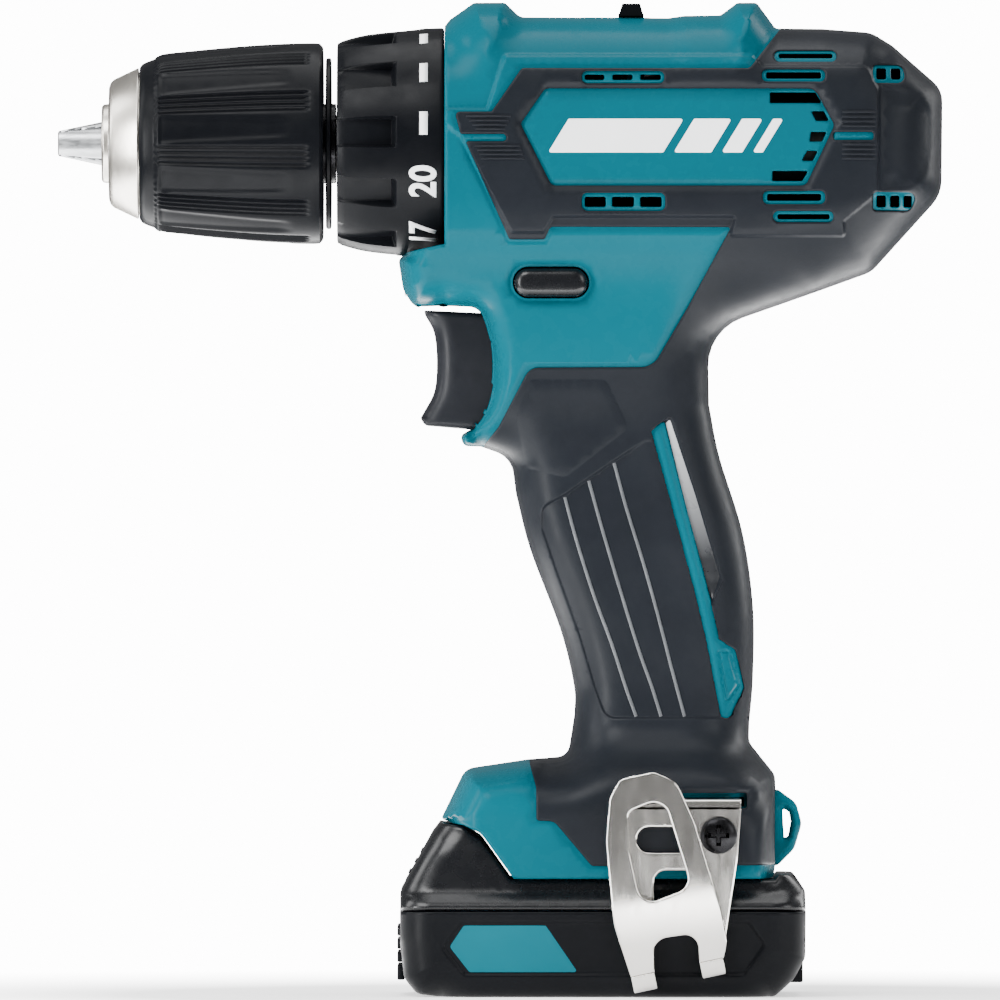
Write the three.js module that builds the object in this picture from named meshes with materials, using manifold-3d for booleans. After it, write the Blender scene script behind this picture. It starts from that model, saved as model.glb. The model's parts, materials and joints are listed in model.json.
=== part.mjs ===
// A cordless drill driver with its slide-on battery, as an assembly of separate pieces.
// Millimetres, +Z up. The chuck points to -X and the belt clip is on the -Y side.
// The origin is the centre of the battery's underside.
import * as THREE from 'three';
import { mergeVertices } from 'three/addons/utils/BufferGeometryUtils.js';
import Module from 'manifold-3d';

const wasm = await Module();
wasm.setup();

// ------------------------------------------------------------------ driving dimensions

const axisZ = 181.9;            // height of the spindle axis
const gap = 0.3;                // clearance between neighbouring pieces
const wall = 3.6;               // housing wall
const rubber = 1.5;             // thickness of the soft overmould
const battery = { halfWidth: 32, seam: 18.2, top: 24.9 };
const foot = { halfWidth: 31.5, bottom: 25.2 };
const gearModule = 1.0;         // pitch diameter over tooth count
const teeth = { sun: 12, planet: 9, ring: 30 };
const planets = 3;              // planets in each stage
const jaw = { angle: THREE.MathUtils.degToRad(13.8), radius: 3.4, crossing: -112.9, tip: -116.4, length: 33 };
const nutX = [-87, -81];        // the jaw nut
const caseRadius = 20.3;        // gear case
const motorRadius = 18;
const ringRear = -33.8;         // rear edge of the torque ring
const rimGrips = 11;            // grooves round the chuck sleeve, and pockets round the torque ring

// where the three planetary stages lie along the axis, input stage last
const stage3 = { ring: [-41, -33.6], planet: [-40.6, -34.2] };
const stage2 = { ring: [-27.2, -19.7], planet: [-26.9, -20.4] };
const stage1 = { ring: [-16.8, -9.4], planet: [-16.4, -9.9] };

// ------------------------------------------------------------------ colours and finishes

const finish = {
  teal: { color: 0x00828f, roughness: 0.42, metalness: 0 },
  rubber: { color: 0x35373b, roughness: 0.72, metalness: 0 },
  blackPlastic: { color: 0x1b1c1f, roughness: 0.4, metalness: 0 },
  glossBlack: { color: 0x121316, roughness: 0.22, metalness: 0 },
  nickel: { color: 0xc9c5bc, roughness: 0.3, metalness: 1 },
  steel: { color: 0x8d8f92, roughness: 0.35, metalness: 1 },
  darkSteel: { color: 0x4a4c50, roughness: 0.4, metalness: 1 },
  sintered: { color: 0x6f6a63, roughness: 0.55, metalness: 0.9 },
  copper: { color: 0x9a5a35, roughness: 0.4, metalness: 0.9 },
  carbon: { color: 0x2a2a2c, roughness: 0.8, metalness: 0.1 },
  lens: { color: 0xe6edf2, roughness: 0.1, metalness: 0 },
  cellWrap: { color: 0x3d6f8f, roughness: 0.35, metalness: 0 },
  board: { color: 0x1f5f3a, roughness: 0.5, metalness: 0 },
};

// ------------------------------------------------------------------ solids

// every geometry here is already welded: outward() welds the three.js shapes
function solidOf(geometry) {
  const triVerts = new Uint32Array(geometry.index.array);
  const vertProperties = new Float32Array(geometry.attributes.position.array);
  return new wasm.Manifold(new wasm.Mesh({ numProp: 3, vertProperties, triVerts }));
}

function geometryOf(solid) {
  const mesh = solid.getMesh();
  const geometry = new THREE.BufferGeometry();
  geometry.setAttribute('position', new THREE.BufferAttribute(new Float32Array(mesh.vertProperties), 3));
  geometry.setIndex(new THREE.BufferAttribute(new Uint32Array(mesh.triVerts), 1));
  return geometry;
}

// welds a closed surface, and turns its faces round if it was made inside out
function outward(geometry) {
  const bare = geometry.clone();
  bare.deleteAttribute('normal');
  bare.deleteAttribute('uv');
  const welded = mergeVertices(bare, 1e-4);
  const at = welded.attributes.position;
  const all = Array.from(welded.index.array);
  const index = all.filter((_, i) => new Set(all.slice(i - (i % 3), i - (i % 3) + 3)).size === 3);
  let volume = 0;
  for (let i = 0; i < index.length; i += 3) {
    const [a, b, c] = [0, 1, 2].map((k) => new THREE.Vector3().fromBufferAttribute(at, index[i + k]));
    volume += a.dot(b.cross(c));
  }
  if (volume < 0) {
    for (let i = 0; i < index.length; i += 3) {
      [index[i], index[i + 1]] = [index[i + 1], index[i]];
    }
  }
  welded.setIndex(index);
  return welded;
}

function join(...geometries) {
  return geometryOf(geometries.map(solidOf).reduce((sum, next) => sum.add(next)));
}

function cut(geometry, ...tools) {
  return geometryOf(tools.map(solidOf).reduce((left, tool) => left.subtract(tool), solidOf(geometry)));
}

function common(geometry, other) {
  return geometryOf(solidOf(geometry).intersect(solidOf(other)));
}

// ------------------------------------------------------------------ basic shapes

const X = new THREE.Vector3(1, 0, 0);
const Y = new THREE.Vector3(0, 1, 0);
const Z = new THREE.Vector3(0, 0, 1);

function turned(geometry, ...basis) {
  return geometry.applyMatrix4(new THREE.Matrix4().makeBasis(...basis));
}

function extruded(shape, depth, curveSegments = 6) {
  return new THREE.ExtrudeGeometry(shape, { depth, bevelEnabled: false, curveSegments });
}

// an outline in (y, z) about the spindle axis, extruded from x0 to x1
function alongX(shape, x0, x1) {
  return outward(turned(extruded(shape, x1 - x0), Y, Z, X).translate(x0, 0, axisZ));
}

// an outline in (x, z), extruded from y0 to y1
function alongY(shape, y0, y1) {
  return outward(turned(extruded(shape, y1 - y0), X, Z, Y.clone().negate()).translate(0, y1, 0));
}

// a closed profile of [x, radius] points, turned about the spindle axis
function turnedOnAxis(profile, segments = 36) {
  const points = profile.map(([x, r]) => new THREE.Vector2(r, x));
  points.push(points[0].clone());
  const lathe = new THREE.LatheGeometry(points, segments);
  return outward(turned(lathe, Y, X, Z.clone().negate()).translate(0, 0, axisZ));
}

function ring(x0, x1, inner, outer, segments = 36) {
  return turnedOnAxis([[x0, inner], [x1, inner], [x1, outer], [x0, outer]], segments);
}

// a solid cylinder from point a to point b
function rod(a, b, radius, segments = 16) {
  const from = new THREE.Vector3(...a);
  const span = new THREE.Vector3(...b).sub(from);
  const cylinder = new THREE.CylinderGeometry(radius, radius, span.length(), segments);
  cylinder.translate(0, span.length() / 2, 0);
  cylinder.applyQuaternion(new THREE.Quaternion().setFromUnitVectors(Y, span.normalize()));
  return outward(cylinder.translate(from.x, from.y, from.z));
}

function box(x0, x1, y0, y1, z0, z1) {
  const block = new THREE.BoxGeometry(x1 - x0, y1 - y0, z1 - z0);
  return outward(block.translate((x0 + x1) / 2, (y0 + y1) / 2, (z0 + z1) / 2));
}

// a straight-sided outline, always counterclockwise so that holes in it come out right
function outline(points) {
  const corners = points.map(([x, y]) => new THREE.Vector2(x, y));
  return new THREE.Shape(THREE.ShapeUtils.isClockWise(corners) ? corners.reverse() : corners);
}

function roundedOutline(points, radius) {
  const shape = new THREE.Shape();
  const count = points.length;
  for (let i = 0; i < count; i += 1) {
    const here = new THREE.Vector2(...points[i]);
    const before = new THREE.Vector2(...points[(i + count - 1) % count]).sub(here);
    const after = new THREE.Vector2(...points[(i + 1) % count]).sub(here);
    const reach = Math.min(radius, before.length() / 2, after.length() / 2);
    const start = here.clone().add(before.setLength(reach));
    const end = here.clone().add(after.setLength(reach));
    if (i === 0) shape.moveTo(start.x, start.y);
    else shape.lineTo(start.x, start.y);
    shape.quadraticCurveTo(here.x, here.y, end.x, end.y);
  }
  return shape;
}

function circleOutline(radius, segments = 36) {
  const points = [];
  for (let i = 0; i < segments; i += 1) {
    const angle = (2 * Math.PI * i) / segments;
    points.push([radius * Math.cos(angle), radius * Math.sin(angle)]);
  }
  return points;
}

// a closed surface through rings that all have the same number of points
function loft(rings) {
  const count = rings[0].length;
  const positions = [];
  const index = [];
  for (const points of rings) {
    for (const p of points) positions.push(p.x, p.y, p.z);
  }
  for (let s = 0; s + 1 < rings.length; s += 1) {
    for (let i = 0; i < count; i += 1) {
      const a = s * count + i;
      const b = s * count + ((i + 1) % count);
      index.push(a, b, a + count, b, b + count, a + count);
    }
  }
  for (const [s, order] of [[0, 1], [rings.length - 1, -1]]) {
    const middle = positions.length / 3;
    const centre = rings[s].reduce((sum, p) => sum.clone().add(p)).divideScalar(count);
    positions.push(centre.x, centre.y, centre.z);
    for (let i = 0; i < count; i += 1) {
      const a = s * count + i;
      const b = s * count + ((i + 1) % count);
      if (order > 0) index.push(middle, b, a);
      else index.push(middle, a, b);
    }
  }
  const geometry = new THREE.BufferGeometry();
  geometry.setAttribute('position', new THREE.Float32BufferAttribute(positions, 3));
  geometry.setIndex(index);
  return outward(geometry);
}

// one quarter-symmetric rounded section; power 2 is an ellipse, higher powers are squarer
function section(halfA, halfB, power, count) {
  const points = [];
  for (let i = 0; i < count; i += 1) {
    const angle = (2 * Math.PI * (i + 0.5)) / count;
    const c = Math.cos(angle);
    const s = Math.sin(angle);
    const a = halfA * Math.sign(c) * Math.abs(c) ** (2 / power);
    const b = halfB * Math.sign(s) * Math.abs(s) ** (2 / power);
    points.push([a, b]);
  }
  return points;
}

// stations [x, top, bottom, half width]
function loftAlongX(stations, power, inset, count) {
  const last = stations.length - 1;
  return loft(stations.map(([x, top, bottom, half], i) => {
    const at = x + (i === 0 ? inset : 0) - (i === last ? inset : 0);
    const points = section(Math.max(half - inset, 1), (top - bottom) / 2 - inset, power, count);
    return points.map(([y, z]) => new THREE.Vector3(at, y, (top + bottom) / 2 + z));
  }));
}

// stations [z, front, rear, half width], highest first
function loftAlongZ(stations, power, inset, count) {
  const last = stations.length - 1;
  return loft(stations.map(([z, front, rear, half], i) => {
    const at = z - (i === 0 ? inset : 0) + (i === last ? inset : 0);
    const points = section((rear - front) / 2 - inset, half - inset, power, count);
    return points.map(([x, y]) => new THREE.Vector3((front + rear) / 2 + x, y, at));
  }));
}

// ------------------------------------------------------------------ gears

// outline of a gear whose first tooth is centred on the angle phase
function gearOutline(count, phase, inward = false) {
  const pitch = (gearModule * count) / 2;
  const tip = pitch + (inward ? -0.8 : 0.8) * gearModule;
  const root = pitch + (inward ? 1.15 : -1.15) * gearModule;
  const step = (2 * Math.PI) / count;
  const points = [];
  for (let i = 0; i < count; i += 1) {
    const middle = phase + i * step;
    const rootHalf = 0.25 * step;
    const tipHalf = 0.11 * step;
    for (const [r, offset] of [[root, -rootHalf], [tip, -tipHalf], [tip, tipHalf], [root, rootHalf]]) {
      points.push([r * Math.cos(middle + offset), r * Math.sin(middle + offset)]);
    }
  }
  return points;
}

function planetAngle(k) {
  return Math.PI / 2 + (2 * Math.PI * k) / planets;
}

const planetOrbit = (gearModule * (teeth.sun + teeth.planet)) / 2;

function planetCentre(k) {
  const angle = planetAngle(k);
  return [planetOrbit * Math.cos(angle), planetOrbit * Math.sin(angle)];
}

// the tooth phase that puts planet k in mesh with a sun whose tooth points along +Y
function planetPhase(k) {
  const angle = planetAngle(k);
  return angle + Math.PI + (angle * teeth.sun) / teeth.planet + Math.PI / teeth.planet;
}

// a gap of the ring gear faces each planet's outer tooth
function ringPhase() {
  const angle = planetAngle(0);
  const gapAt = angle * (1 + teeth.sun / teeth.ring) + (Math.PI * (teeth.planet + 1)) / teeth.ring;
  return gapAt + Math.PI / teeth.ring;
}

function planetGear([x0, x1], k) {
  const shape = outline(gearOutline(teeth.planet, planetPhase(k)));
  shape.holes.push(outline(circleOutline(1.85, 8)));
  const [y, z] = planetCentre(k);
  return alongX(shape, x0, x1).translate(0, y, z);
}

function ringGear([x0, x1]) {
  const shape = outline(circleOutline(18, 20));
  shape.holes.push(outline(gearOutline(teeth.ring, ringPhase(), true)));
  return alongX(shape, x0, x1);
}

function planetPins(x0, x1) {
  return Array.from({ length: planets }, (_, k) => {
    const [y, z] = planetCentre(k);
    return rod([x0, y, axisZ + z], [x1, y, axisZ + z], 1.5, 8);
  });
}

// a carrier plate with its three planet pins behind and the next stage's sun gear in front
function carrier(plateFront, plateRear, sunFront, pinRear) {
  const sun = outline(gearOutline(teeth.sun, 0));
  const plate = ring(plateFront, plateRear, 3.0, 13.6, 24);
  const bore = rod([sunFront - 1, 0, axisZ], [plateRear + 1, 0, axisZ], 2.2, 12);
  return cut(join(plate, alongX(sun, sunFront, plateRear), ...planetPins(plateRear - 0.5, pinRear)), bore);
}

// ------------------------------------------------------------------ outer shape of the housing

const barrelStations = [
  [-33.2, 208.2, 158.5, 25.4],
  [-27.5, 212.0, 157.0, 26.5],
  [-20.8, 212.0, 157.0, 26.5],
  [-16.0, 208.9, 157.0, 26.5],
  [25.5, 209.2, 150.5, 26.5],
  [30.5, 212.0, 147.0, 26.5],
  [37.0, 206.7, 147.2, 26.4],
  [59.0, 204.6, 156.0, 24.6],
  [67.0, 198.4, 163.6, 19.5],
  [72.5, 188.5, 177.0, 7.0],
];

const neckStations = [
  [166.0, -33.0, 40.0, 22.0],
  [158.5, -43.2, 38.0, 22.0],
  [149.5, -42.4, 36.0, 21.0],
  [146.8, -38.0, 33.0, 20.4],
  [145.2, -27.2, 30.0, 19.6],
  [137.0, -23.9, 24.2, 18.3],
  [118.6, -30.0, 24.0, 16.3],
  [112.5, -19.9, 25.6, 16.5],
  [95.0, -15.5, 30.9, 17.8],
  [78.0, -9.0, 32.3, 18.1],
  [62.0, -6.0, 31.6, 18.0],
  [54.0, -8.0, 32.0, 19.2],
  [43.0, -12.0, 34.0, 22.0],
];

const footStations = [
  [51.6, -14.0, 34.0, 23.0],
  [49.2, -26.0, 35.2, 28.6],
  [46.0, -30.0, 36.6, 31.0],
  [38.2, -34.2, 37.0, foot.halfWidth],
  [foot.bottom, -34.2, 36.6, foot.halfWidth],
];

// the front of the foot is cut back along the battery's raised front
const towerLine = [[-34.5, 38.0], [-33.3, 37.1], [-29.4, 36.5], [-27.2, 35.6], [-25.2, 33.6], [-18.8, 25.0]];

function hull(inset, count = 16) {
  const barrel = loftAlongX(barrelStations, 2.5, inset, count);
  const neck = loftAlongZ(neckStations, 2.8, inset, count);
  const base = loftAlongZ(footStations, 4.2, inset, count);
  const tower = offsetOutline([...towerLine, [-18.8, 15], [-50, 15], [-50, 38]], inset);
  return join(barrel, neck, cut(base, alongY(outline(tower), -40, 40)));
}

// the outline, seen from the side, that the soft overmould covers
const rubberOutline = [
  [-17.3, 197.6], [31.0, 197.6], [38.5, 206.8], [38.5, 216.0], [80.0, 216.0], [80.0, 28.2],
  [-2.0, 28.0], [-5.0, 29.2], [-10.0, 36.0], [-11.8, 37.3], [-14.2, 38.0], [-14.2, 44.0],
  [-15.6, 50.0], [-16.0, 54.0], [-42.0, 60.0], [-42.0, 110.0], [-25.5, 117.4], [-22.5, 121.0],
  [-17.5, 130.0], [-14.0, 133.6], [8.0, 134.0], [13.5, 137.0], [20.0, 150.8], [27.0, 163.7],
  [-10.5, 163.7], [-12.6, 161.3], [-20.0, 161.3], [-29.2, 181.8], [-31.2, 188.0], [-23.7, 188.2],
];

// the hard panel that shows through the overmould on each side of the barrel
const panelOutline = [
  [-17.4, 185.7], [-12.3, 193.2], [43.5, 193.2], [49.0, 185.6], [42.8, 172.7], [-10.8, 172.7],
];

function offsetOutline(points, distance) {
  const count = points.length;
  const area = points.reduce((sum, [x, z], i) => {
    const [nx, nz] = points[(i + 1) % count];
    return sum + x * nz - nx * z;
  }, 0);
  const side = area > 0 ? 1 : -1;
  return points.map((point, i) => {
    const here = new THREE.Vector2(...point);
    const back = here.clone().sub(new THREE.Vector2(...points[(i + count - 1) % count])).normalize();
    const ahead = new THREE.Vector2(...points[(i + 1) % count]).sub(here).normalize();
    const normalA = new THREE.Vector2(back.y, -back.x).multiplyScalar(side);
    const normalB = new THREE.Vector2(ahead.y, -ahead.x).multiplyScalar(side);
    const bisector = normalA.clone().add(normalB).normalize();
    const moved = here.addScaledVector(bisector, distance / Math.max(bisector.dot(normalA), 0.4));
    return [moved.x, moved.y];
  });
}

function rubberPrism(grow) {
  const shape = outline(offsetOutline(rubberOutline, grow));
  shape.holes.push(outline(offsetOutline(panelOutline, -grow)));
  return alongY(shape, -60, 60);
}

// ------------------------------------------------------------------ openings in the housing

// cooling slots as [x0, x1, z0, z1], the same on both sides
const coolingSlots = [
  [-4.0, 0.3, 195.0, 196.1], [2.0, 6.3, 195.0, 196.1], [7.9, 12.3, 195.0, 196.1],
  [-4.0, 0.7, 168.0, 170.1], [1.9, 6.7, 168.0, 170.1], [7.9, 12.6, 168.0, 170.1],
  [37.5, 49.0, 199.6, 200.8], [35.0, 46.6, 195.1, 196.9],
  [35.0, 46.6, 169.0, 170.9], [37.0, 48.4, 165.3, 166.7],
  [58.0, 63.8, 195.0, 197.8], [58.0, 66.0, 167.9, 170.7],
];

// cooling slots that open only through the hard panel
const panelSlots = [
  [35.5, 44.6, 190.2, 192.2], [36.0, 43.2, 173.6, 175.5],
  [44.0, 47.0, 186.2, 188.0], [43.6, 46.6, 182.0, 183.9], [42.0, 45.0, 178.0, 179.8],
];

function slotTools(slots) {
  return slots.map(([x0, x1, z0, z1]) => box(x0, x1, -45, 45, z0, z1));
}

const buttonOutline = roundedOutline([[-18.8, 149], [-3.3, 149], [-3.3, 155], [-18.8, 155]], 3);
const buttonHole = roundedOutline([[-19.2, 148.6], [-2.9, 148.6], [-2.9, 155.4], [-19.2, 155.4]], 3.2);

// screws that hold the two halves together, with the height of each head above the split
const housingScrews = [
  { x: -24.0, z: 207.2, head: 13.5 },
  { x: 31.0, z: 206.6, head: 13.5 },
  { x: 49.0, z: 157.2, head: 11.0 },
  { x: -30.5, z: 152.6, head: 16.0 },
  { x: 20.0, z: 62.5, head: 13.0 },
];

function boss({ x, z }, reach) {
  return rod([x, -reach, z], [x, reach, z], 3.8, 10);
}

function screwHole({ x, z, head }) {
  const shank = rod([x, -9, z], [x, head + 1, z], 1.75, 8);
  const counterbore = rod([x, head, z], [x, 45, z], 3.2, 10);
  return join(shank, counterbore);
}

// a cradle rib across the barrel, cut to the gear case or motor that it holds
function cradle(x0) {
  return common(box(x0, x0 + 1.8, -40, 40, 163, 202.2), hull(1));
}

// the strap loop behind the foot
const strapLug = [
  [34.0, 43.6], [37.2, 43.3], [41.3, 40.3], [42.3, 38.0], [42.2, 35.0], [40.5, 31.0], [37.0, 27.8], [34.0, 27.8],
];
const strapHole = [[38.2, 40.2], [39.8, 39.2], [40.6, 37.5], [40.2, 34.4], [39.2, 33.0], [38.6, 34.0]];

function strapLoop() {
  const shape = outline(strapLug);
  shape.holes.push(outline(strapHole));
  return alongY(shape, -6, 6);
}

function wholeHousing() {
  const skin = cut(hull(0), hull(wall, 10));
  const softRecess = cut(rubberPrism(gap), hull(rubber + gap));
  const bosses = housingScrews.map((screw) => common(boss(screw, 30), hull(1)));
  const filled = join(skin, ...bosses, cradle(-13), cradle(49), strapLoop());
  return cut(
    filled,
    softRecess,
    rod([-60, 0, axisZ], [-33.0, 0, axisZ], 25.3, 32),
    rod([-40, 0, axisZ], [4, 0, axisZ], caseRadius + gap, 28),
    rod([7, 0, axisZ], [59, 0, axisZ], motorRadius + gap, 24),
    box(-33, 16, -5.2, 5.2, 202, 205.4),
    box(-50, -12.8, -10.6, 10.6, 121.0, 147.0),
    alongY(buttonHole, -45, 45),
    box(-3.6, 9.6, -3.4, 3.4, 200, 215),
    rod([-50, 0, 151.6], [-30, 0, 151.6], 2.8, 14),
    box(-40, 34.0, -28.2, 28.2, 20, 33.9),
    box(5, 30, -40, -28, 40.8, 43.2),
    rod([24.5, -40, 34.5], [24.5, -27.5, 34.5], 1.9, 12),
    ...slotTools([...coolingSlots, ...panelSlots]),
    ...housingScrews.map(screwHole),
  );
}

function halfSpace(side) {
  return side < 0 ? box(-150, 150, -80, -gap / 2, -10, 240) : box(-150, 150, gap / 2, 80, -10, 240);
}

function wholeOvermould() {
  const layer = cut(hull(0), hull(rubber));
  return cut(
    common(layer, rubberPrism(0)),
    box(5 - gap, 30 + gap, -40, -28, 40.8 - gap, 43.2 + gap),
    box(0, 31, -40, -foot.halfWidth + 0.9, 27, 41.5),
    rod([24.5, -40, 34.5], [24.5, -27.5, 34.5], 2.2, 12),
    box(33, 60, -6.4, 6.4, 24, 43.9),
    box(-40, 34.0, -28.2, 28.2, 20, 33.9),
    box(-50, -12.8, -10.6, 10.6, 121.0, 147.0),
    ...slotTools(coolingSlots),
    ...housingScrews.map(({ x, z, head }) => rod([x, head, z], [x, 45, z], 3.5, 10)),
  );
}

// ------------------------------------------------------------------ fasteners

function panScrew(x, z, head, tip, headRadius, shankRadius) {
  const shank = rod([x, tip, z], [x, head + 0.4, z], shankRadius, 10);
  const cap = rod([x, head + 0.2, z], [x, head + 2.2, z], headRadius, 14);
  const slots = [box(x - 1.7, x + 1.7, head + 1.2, head + 4, z - 0.35, z + 0.35),
    box(x - 0.35, x + 0.35, head + 1.2, head + 4, z - 1.7, z + 1.7)];
  return cut(join(shank, cap), ...slots);
}

// ------------------------------------------------------------------ belt clip

const clip = { inner: -32.6, thickness: 1.4, spread: 7.2, tilt: THREE.MathUtils.degToRad(11.9) };

const clipLegs = [
  [25.5, 8.5], [20.4, 7.45], [20.0, 9.6], [19.3, 13.0], [17.0, 14.0], [12.4, 12.9], [10.7, 11.0], [10.9, 5.45],
  [5.9, 4.4],
];

const clipBase = [
  [4.0, 40.6], [29.3, 40.6], [28.5, 30.0], [26.0, 13.5], ...clipLegs, [4.6, 8.0], [3.0, 16.0], [2.5, 30.0],
];

const clipLoop = [
  [5.0, 47.0], [10.5, 48.0], [13.0, 47.5], [15.0, 45.5], [19.0, 38.5], [22.0, 29.0], [25.0, 19.0], [25.8, 14.5],
  ...clipLegs, [4.6, 8.0], [2.5, 14.0], [1.5, 22.0], [0.7, 34.0], [1.2, 41.0], [2.6, 44.7],
];

const clipWindow = [
  [5.3, 38.0], [7.0, 41.0], [12.0, 41.3], [14.5, 37.0], [18.0, 24.5], [15.5, 21.3], [9.0, 20.6], [6.8, 24.0],
];

// a half round bend at the foot of one leg, from x0 to x1 along the tilted fold line
function clipBend(along0, along1, foldX, foldZ) {
  const middle = clip.inner - clip.thickness / 2 - clip.spread / 2;
  const outer = clip.spread / 2 + clip.thickness / 2;
  const inner = clip.spread / 2 - clip.thickness / 2;
  const shape = new THREE.Shape();
  shape.absarc(0, 0, outer, Math.PI, 2 * Math.PI, false);
  shape.absarc(0, 0, inner, 2 * Math.PI, Math.PI, true);
  const bend = outward(turned(extruded(shape, along1 - along0, 5), Y, Z, X).translate(along0, 0, 0));
  return bend.rotateY(-clip.tilt).translate(foldX, middle, foldZ);
}

function beltClip() {
  const y0 = clip.inner - clip.thickness;
  const base = outline(clipBase);
  base.holes.push(roundedOutline([[7.3, 30.8], [18.0, 30.8], [18.0, 36.2], [7.3, 36.2]], 2.6));
  const loop = outline(clipLoop);
  loop.holes.push(outline(clipWindow));
  const outerLeaf = alongY(loop, y0 - clip.spread, y0 - clip.spread + clip.thickness);
  const tab = box(6, 29.2, clip.inner - clip.thickness, -29.2, 41.3, 42.7);
  const fold = box(6, 29.2, clip.inner - clip.thickness, clip.inner, 40.2, 42.7);
  const fix = rod([24.5, -45, 34.5], [24.5, -20, 34.5], 1.9, 12);
  const bends = [clipBend(0.05, 5.0, ...clipLegs.at(-1)), clipBend(14.9, 19.9, ...clipLegs.at(-1))];
  return cut(join(alongY(base, y0, clip.inner), outerLeaf, tab, fold, ...bends), fix);
}

// ------------------------------------------------------------------ electrics and motor

function switchBody() {
  const plunger = rod([-14, 0, 136], [-4, 0, 136], 2.6, 14);
  return cut(box(-12.9, 13.6, -9.5, 9.5, 119, 146), plunger);
}

function motorCan() {
  return turnedOnAxis([[9, 4], [9, motorRadius], [58, motorRadius], [58, 16.6], [10.6, 16.6], [10.6, 4]], 28);
}

function motorEndCap() {
  return turnedOnAxis([
    [58.3, 15.4], [58.3, motorRadius], [59.4, 17], [63, 11.5], [63, 2.6], [60.8, 2.6], [60.8, 11.5],
  ], 24);
}

function carbonBrush(side) {
  return side < 0 ? box(54.5, 58.5, -12, -5.4, axisZ - 2.5, axisZ + 2.5)
    : box(54.5, 58.5, 5.4, 12, axisZ - 2.5, axisZ + 2.5);
}

function armature() {
  const shaft = turnedOnAxis([
    [-3, 0], [-3, 1.6], [54, 1.6], [54, 5], [59.5, 5], [59.5, 2.2], [66, 2.2], [66, 0],
  ], 16);
  const poles = 5;
  const pole = (2 * Math.PI) / poles;
  const points = [];
  for (let i = 0; i < poles; i += 1) {
    const middle = i * pole;
    for (const [r, part] of [[13.4, -0.42], [14.6, -0.2], [14.6, 0.2], [13.4, 0.42], [6, 0.44], [6, 0.56]]) {
      points.push([r * Math.cos(middle + part * pole), r * Math.sin(middle + part * pole)]);
    }
  }
  return join(shaft, alongX(outline(points), 17, 49));
}

function coolingFan() {
  const disc = ring(4, 5.2, 1.9, 16.5, 24);
  const hub = ring(-2, 5.2, 1.9, 5, 12);
  const blades = Array.from({ length: 7 }, (_, i) => {
    const blade = box(-1.6, 4.6, 4, 16, -0.6, 0.6);
    return blade.rotateX((2 * Math.PI * i) / 7).translate(0, 0, axisZ);
  });
  return join(disc, hub, ...blades);
}

function pinion() {
  const teethPart = alongX(outline(gearOutline(teeth.sun, 0)), stage1.planet[0] + 0.2, -5);
  return cut(teethPart, rod([-8.5, 0, axisZ], [-4, 0, axisZ], 1.9, 12));
}

// ------------------------------------------------------------------ gearbox

function gearCase() {
  const body = turnedOnAxis([
    [-5, 18.3], [-43.8, 18.3], [-43.8, 9.6], [-53.6, 9.6], [-53.6, 13.4], [-46.2, 13.4], [-46.2, caseRadius],
    [-5, caseRadius],
  ], 24);
  return cut(body, box(-34.4, -20.4, -3, 3, 198, 206));
}

function gearCasePlate() {
  return ring(-8.8, -6.2, 7.6, 18, 24);
}

function clutchSpring() {
  const turns = 3;
  const radius = 16.4;
  const wire = 0.9;
  const span = 5.4;
  const steps = 30;
  const points = [];
  for (let i = 0; i <= steps; i += 1) {
    const angle = (2 * Math.PI * turns * i) / steps;
    const x = -53.4 + wire + (span * i) / steps;
    points.push(new THREE.Vector3(x, radius * Math.cos(angle), axisZ + radius * Math.sin(angle)));
  }
  const path = new THREE.CatmullRomCurve3(points);
  const wireShape = outline(circleOutline(wire, 5));
  return outward(new THREE.ExtrudeGeometry(wireShape, { steps, extrudePath: path, bevelEnabled: false }));
}

function spindle() {
  const shaft = turnedOnAxis([[-43.4, 0], [-43.4, 6], [-73.6, 6], [-73.6, 2.9], [-64, 2.9], [-64, 0]], 24);
  const flange = turnedOnAxis([[-43.6, 0], [-43.6, 13.6], [-41.2, 13.6], [-41.2, 0]], 24);
  return join(shaft, flange, ...planetPins(-41.6, stage3.planet[1] - 0.2));
}

// ------------------------------------------------------------------ chuck

function jawAxisPoint(x, azimuth) {
  const radius = (x - jaw.crossing) * Math.tan(jaw.angle);
  return [x, radius * Math.cos(azimuth), axisZ + radius * Math.sin(azimuth)];
}

function jawAzimuth(k) {
  return Math.PI + (2 * Math.PI * k) / 3;
}

function chuckBody() {
  const body = turnedOnAxis([
    [-107, 5.3], [-107, 7.8], [-105.4, 8.6], [-105.1, 12.6], [-103.8, 13.7], [-99.3, 16.2], [-99.2, 15.2],
    [-87.3, 15.2], [-87.3, 9.9], [-80.7, 11.4], [-80.7, 15.2], [-59.3, 15.2], [-59.3, 8.5], [-57, 8.5],
    [-57, 6.3], [-74, 6.3], [-74, 3.2], [-77, 3.2], [-77, 5.3],
  ], 20);
  const bores = Array.from({ length: 3 }, (_, k) => {
    return rod(jawAxisPoint(-120, jawAzimuth(k)), jawAxisPoint(-61, jawAzimuth(k)), jaw.radius + gap, 10);
  });
  return cut(body, ...bores);
}

// a round pin ground to a third of the circle, so that three of them close to a point
function chuckJaw(k) {
  const azimuth = jawAzimuth(k);
  const rear = jaw.tip + jaw.length * Math.cos(jaw.angle);
  const pin = rod(jawAxisPoint(jaw.tip - 2, azimuth), jawAxisPoint(rear, azimuth), jaw.radius, 10);
  const half = Math.PI / 3;
  const far = 40;
  const clear = 0.18;
  const corner = (angle, reach) => [
    clear * Math.cos(azimuth) + reach * Math.cos(angle),
    clear * Math.sin(azimuth) + reach * Math.sin(angle),
  ];
  const wedge = outline([
    corner(azimuth, 0), corner(azimuth - half, far), corner(azimuth, far), corner(azimuth + half, far),
  ]);
  return common(pin, alongX(wedge, jaw.tip, 0));
}

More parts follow.
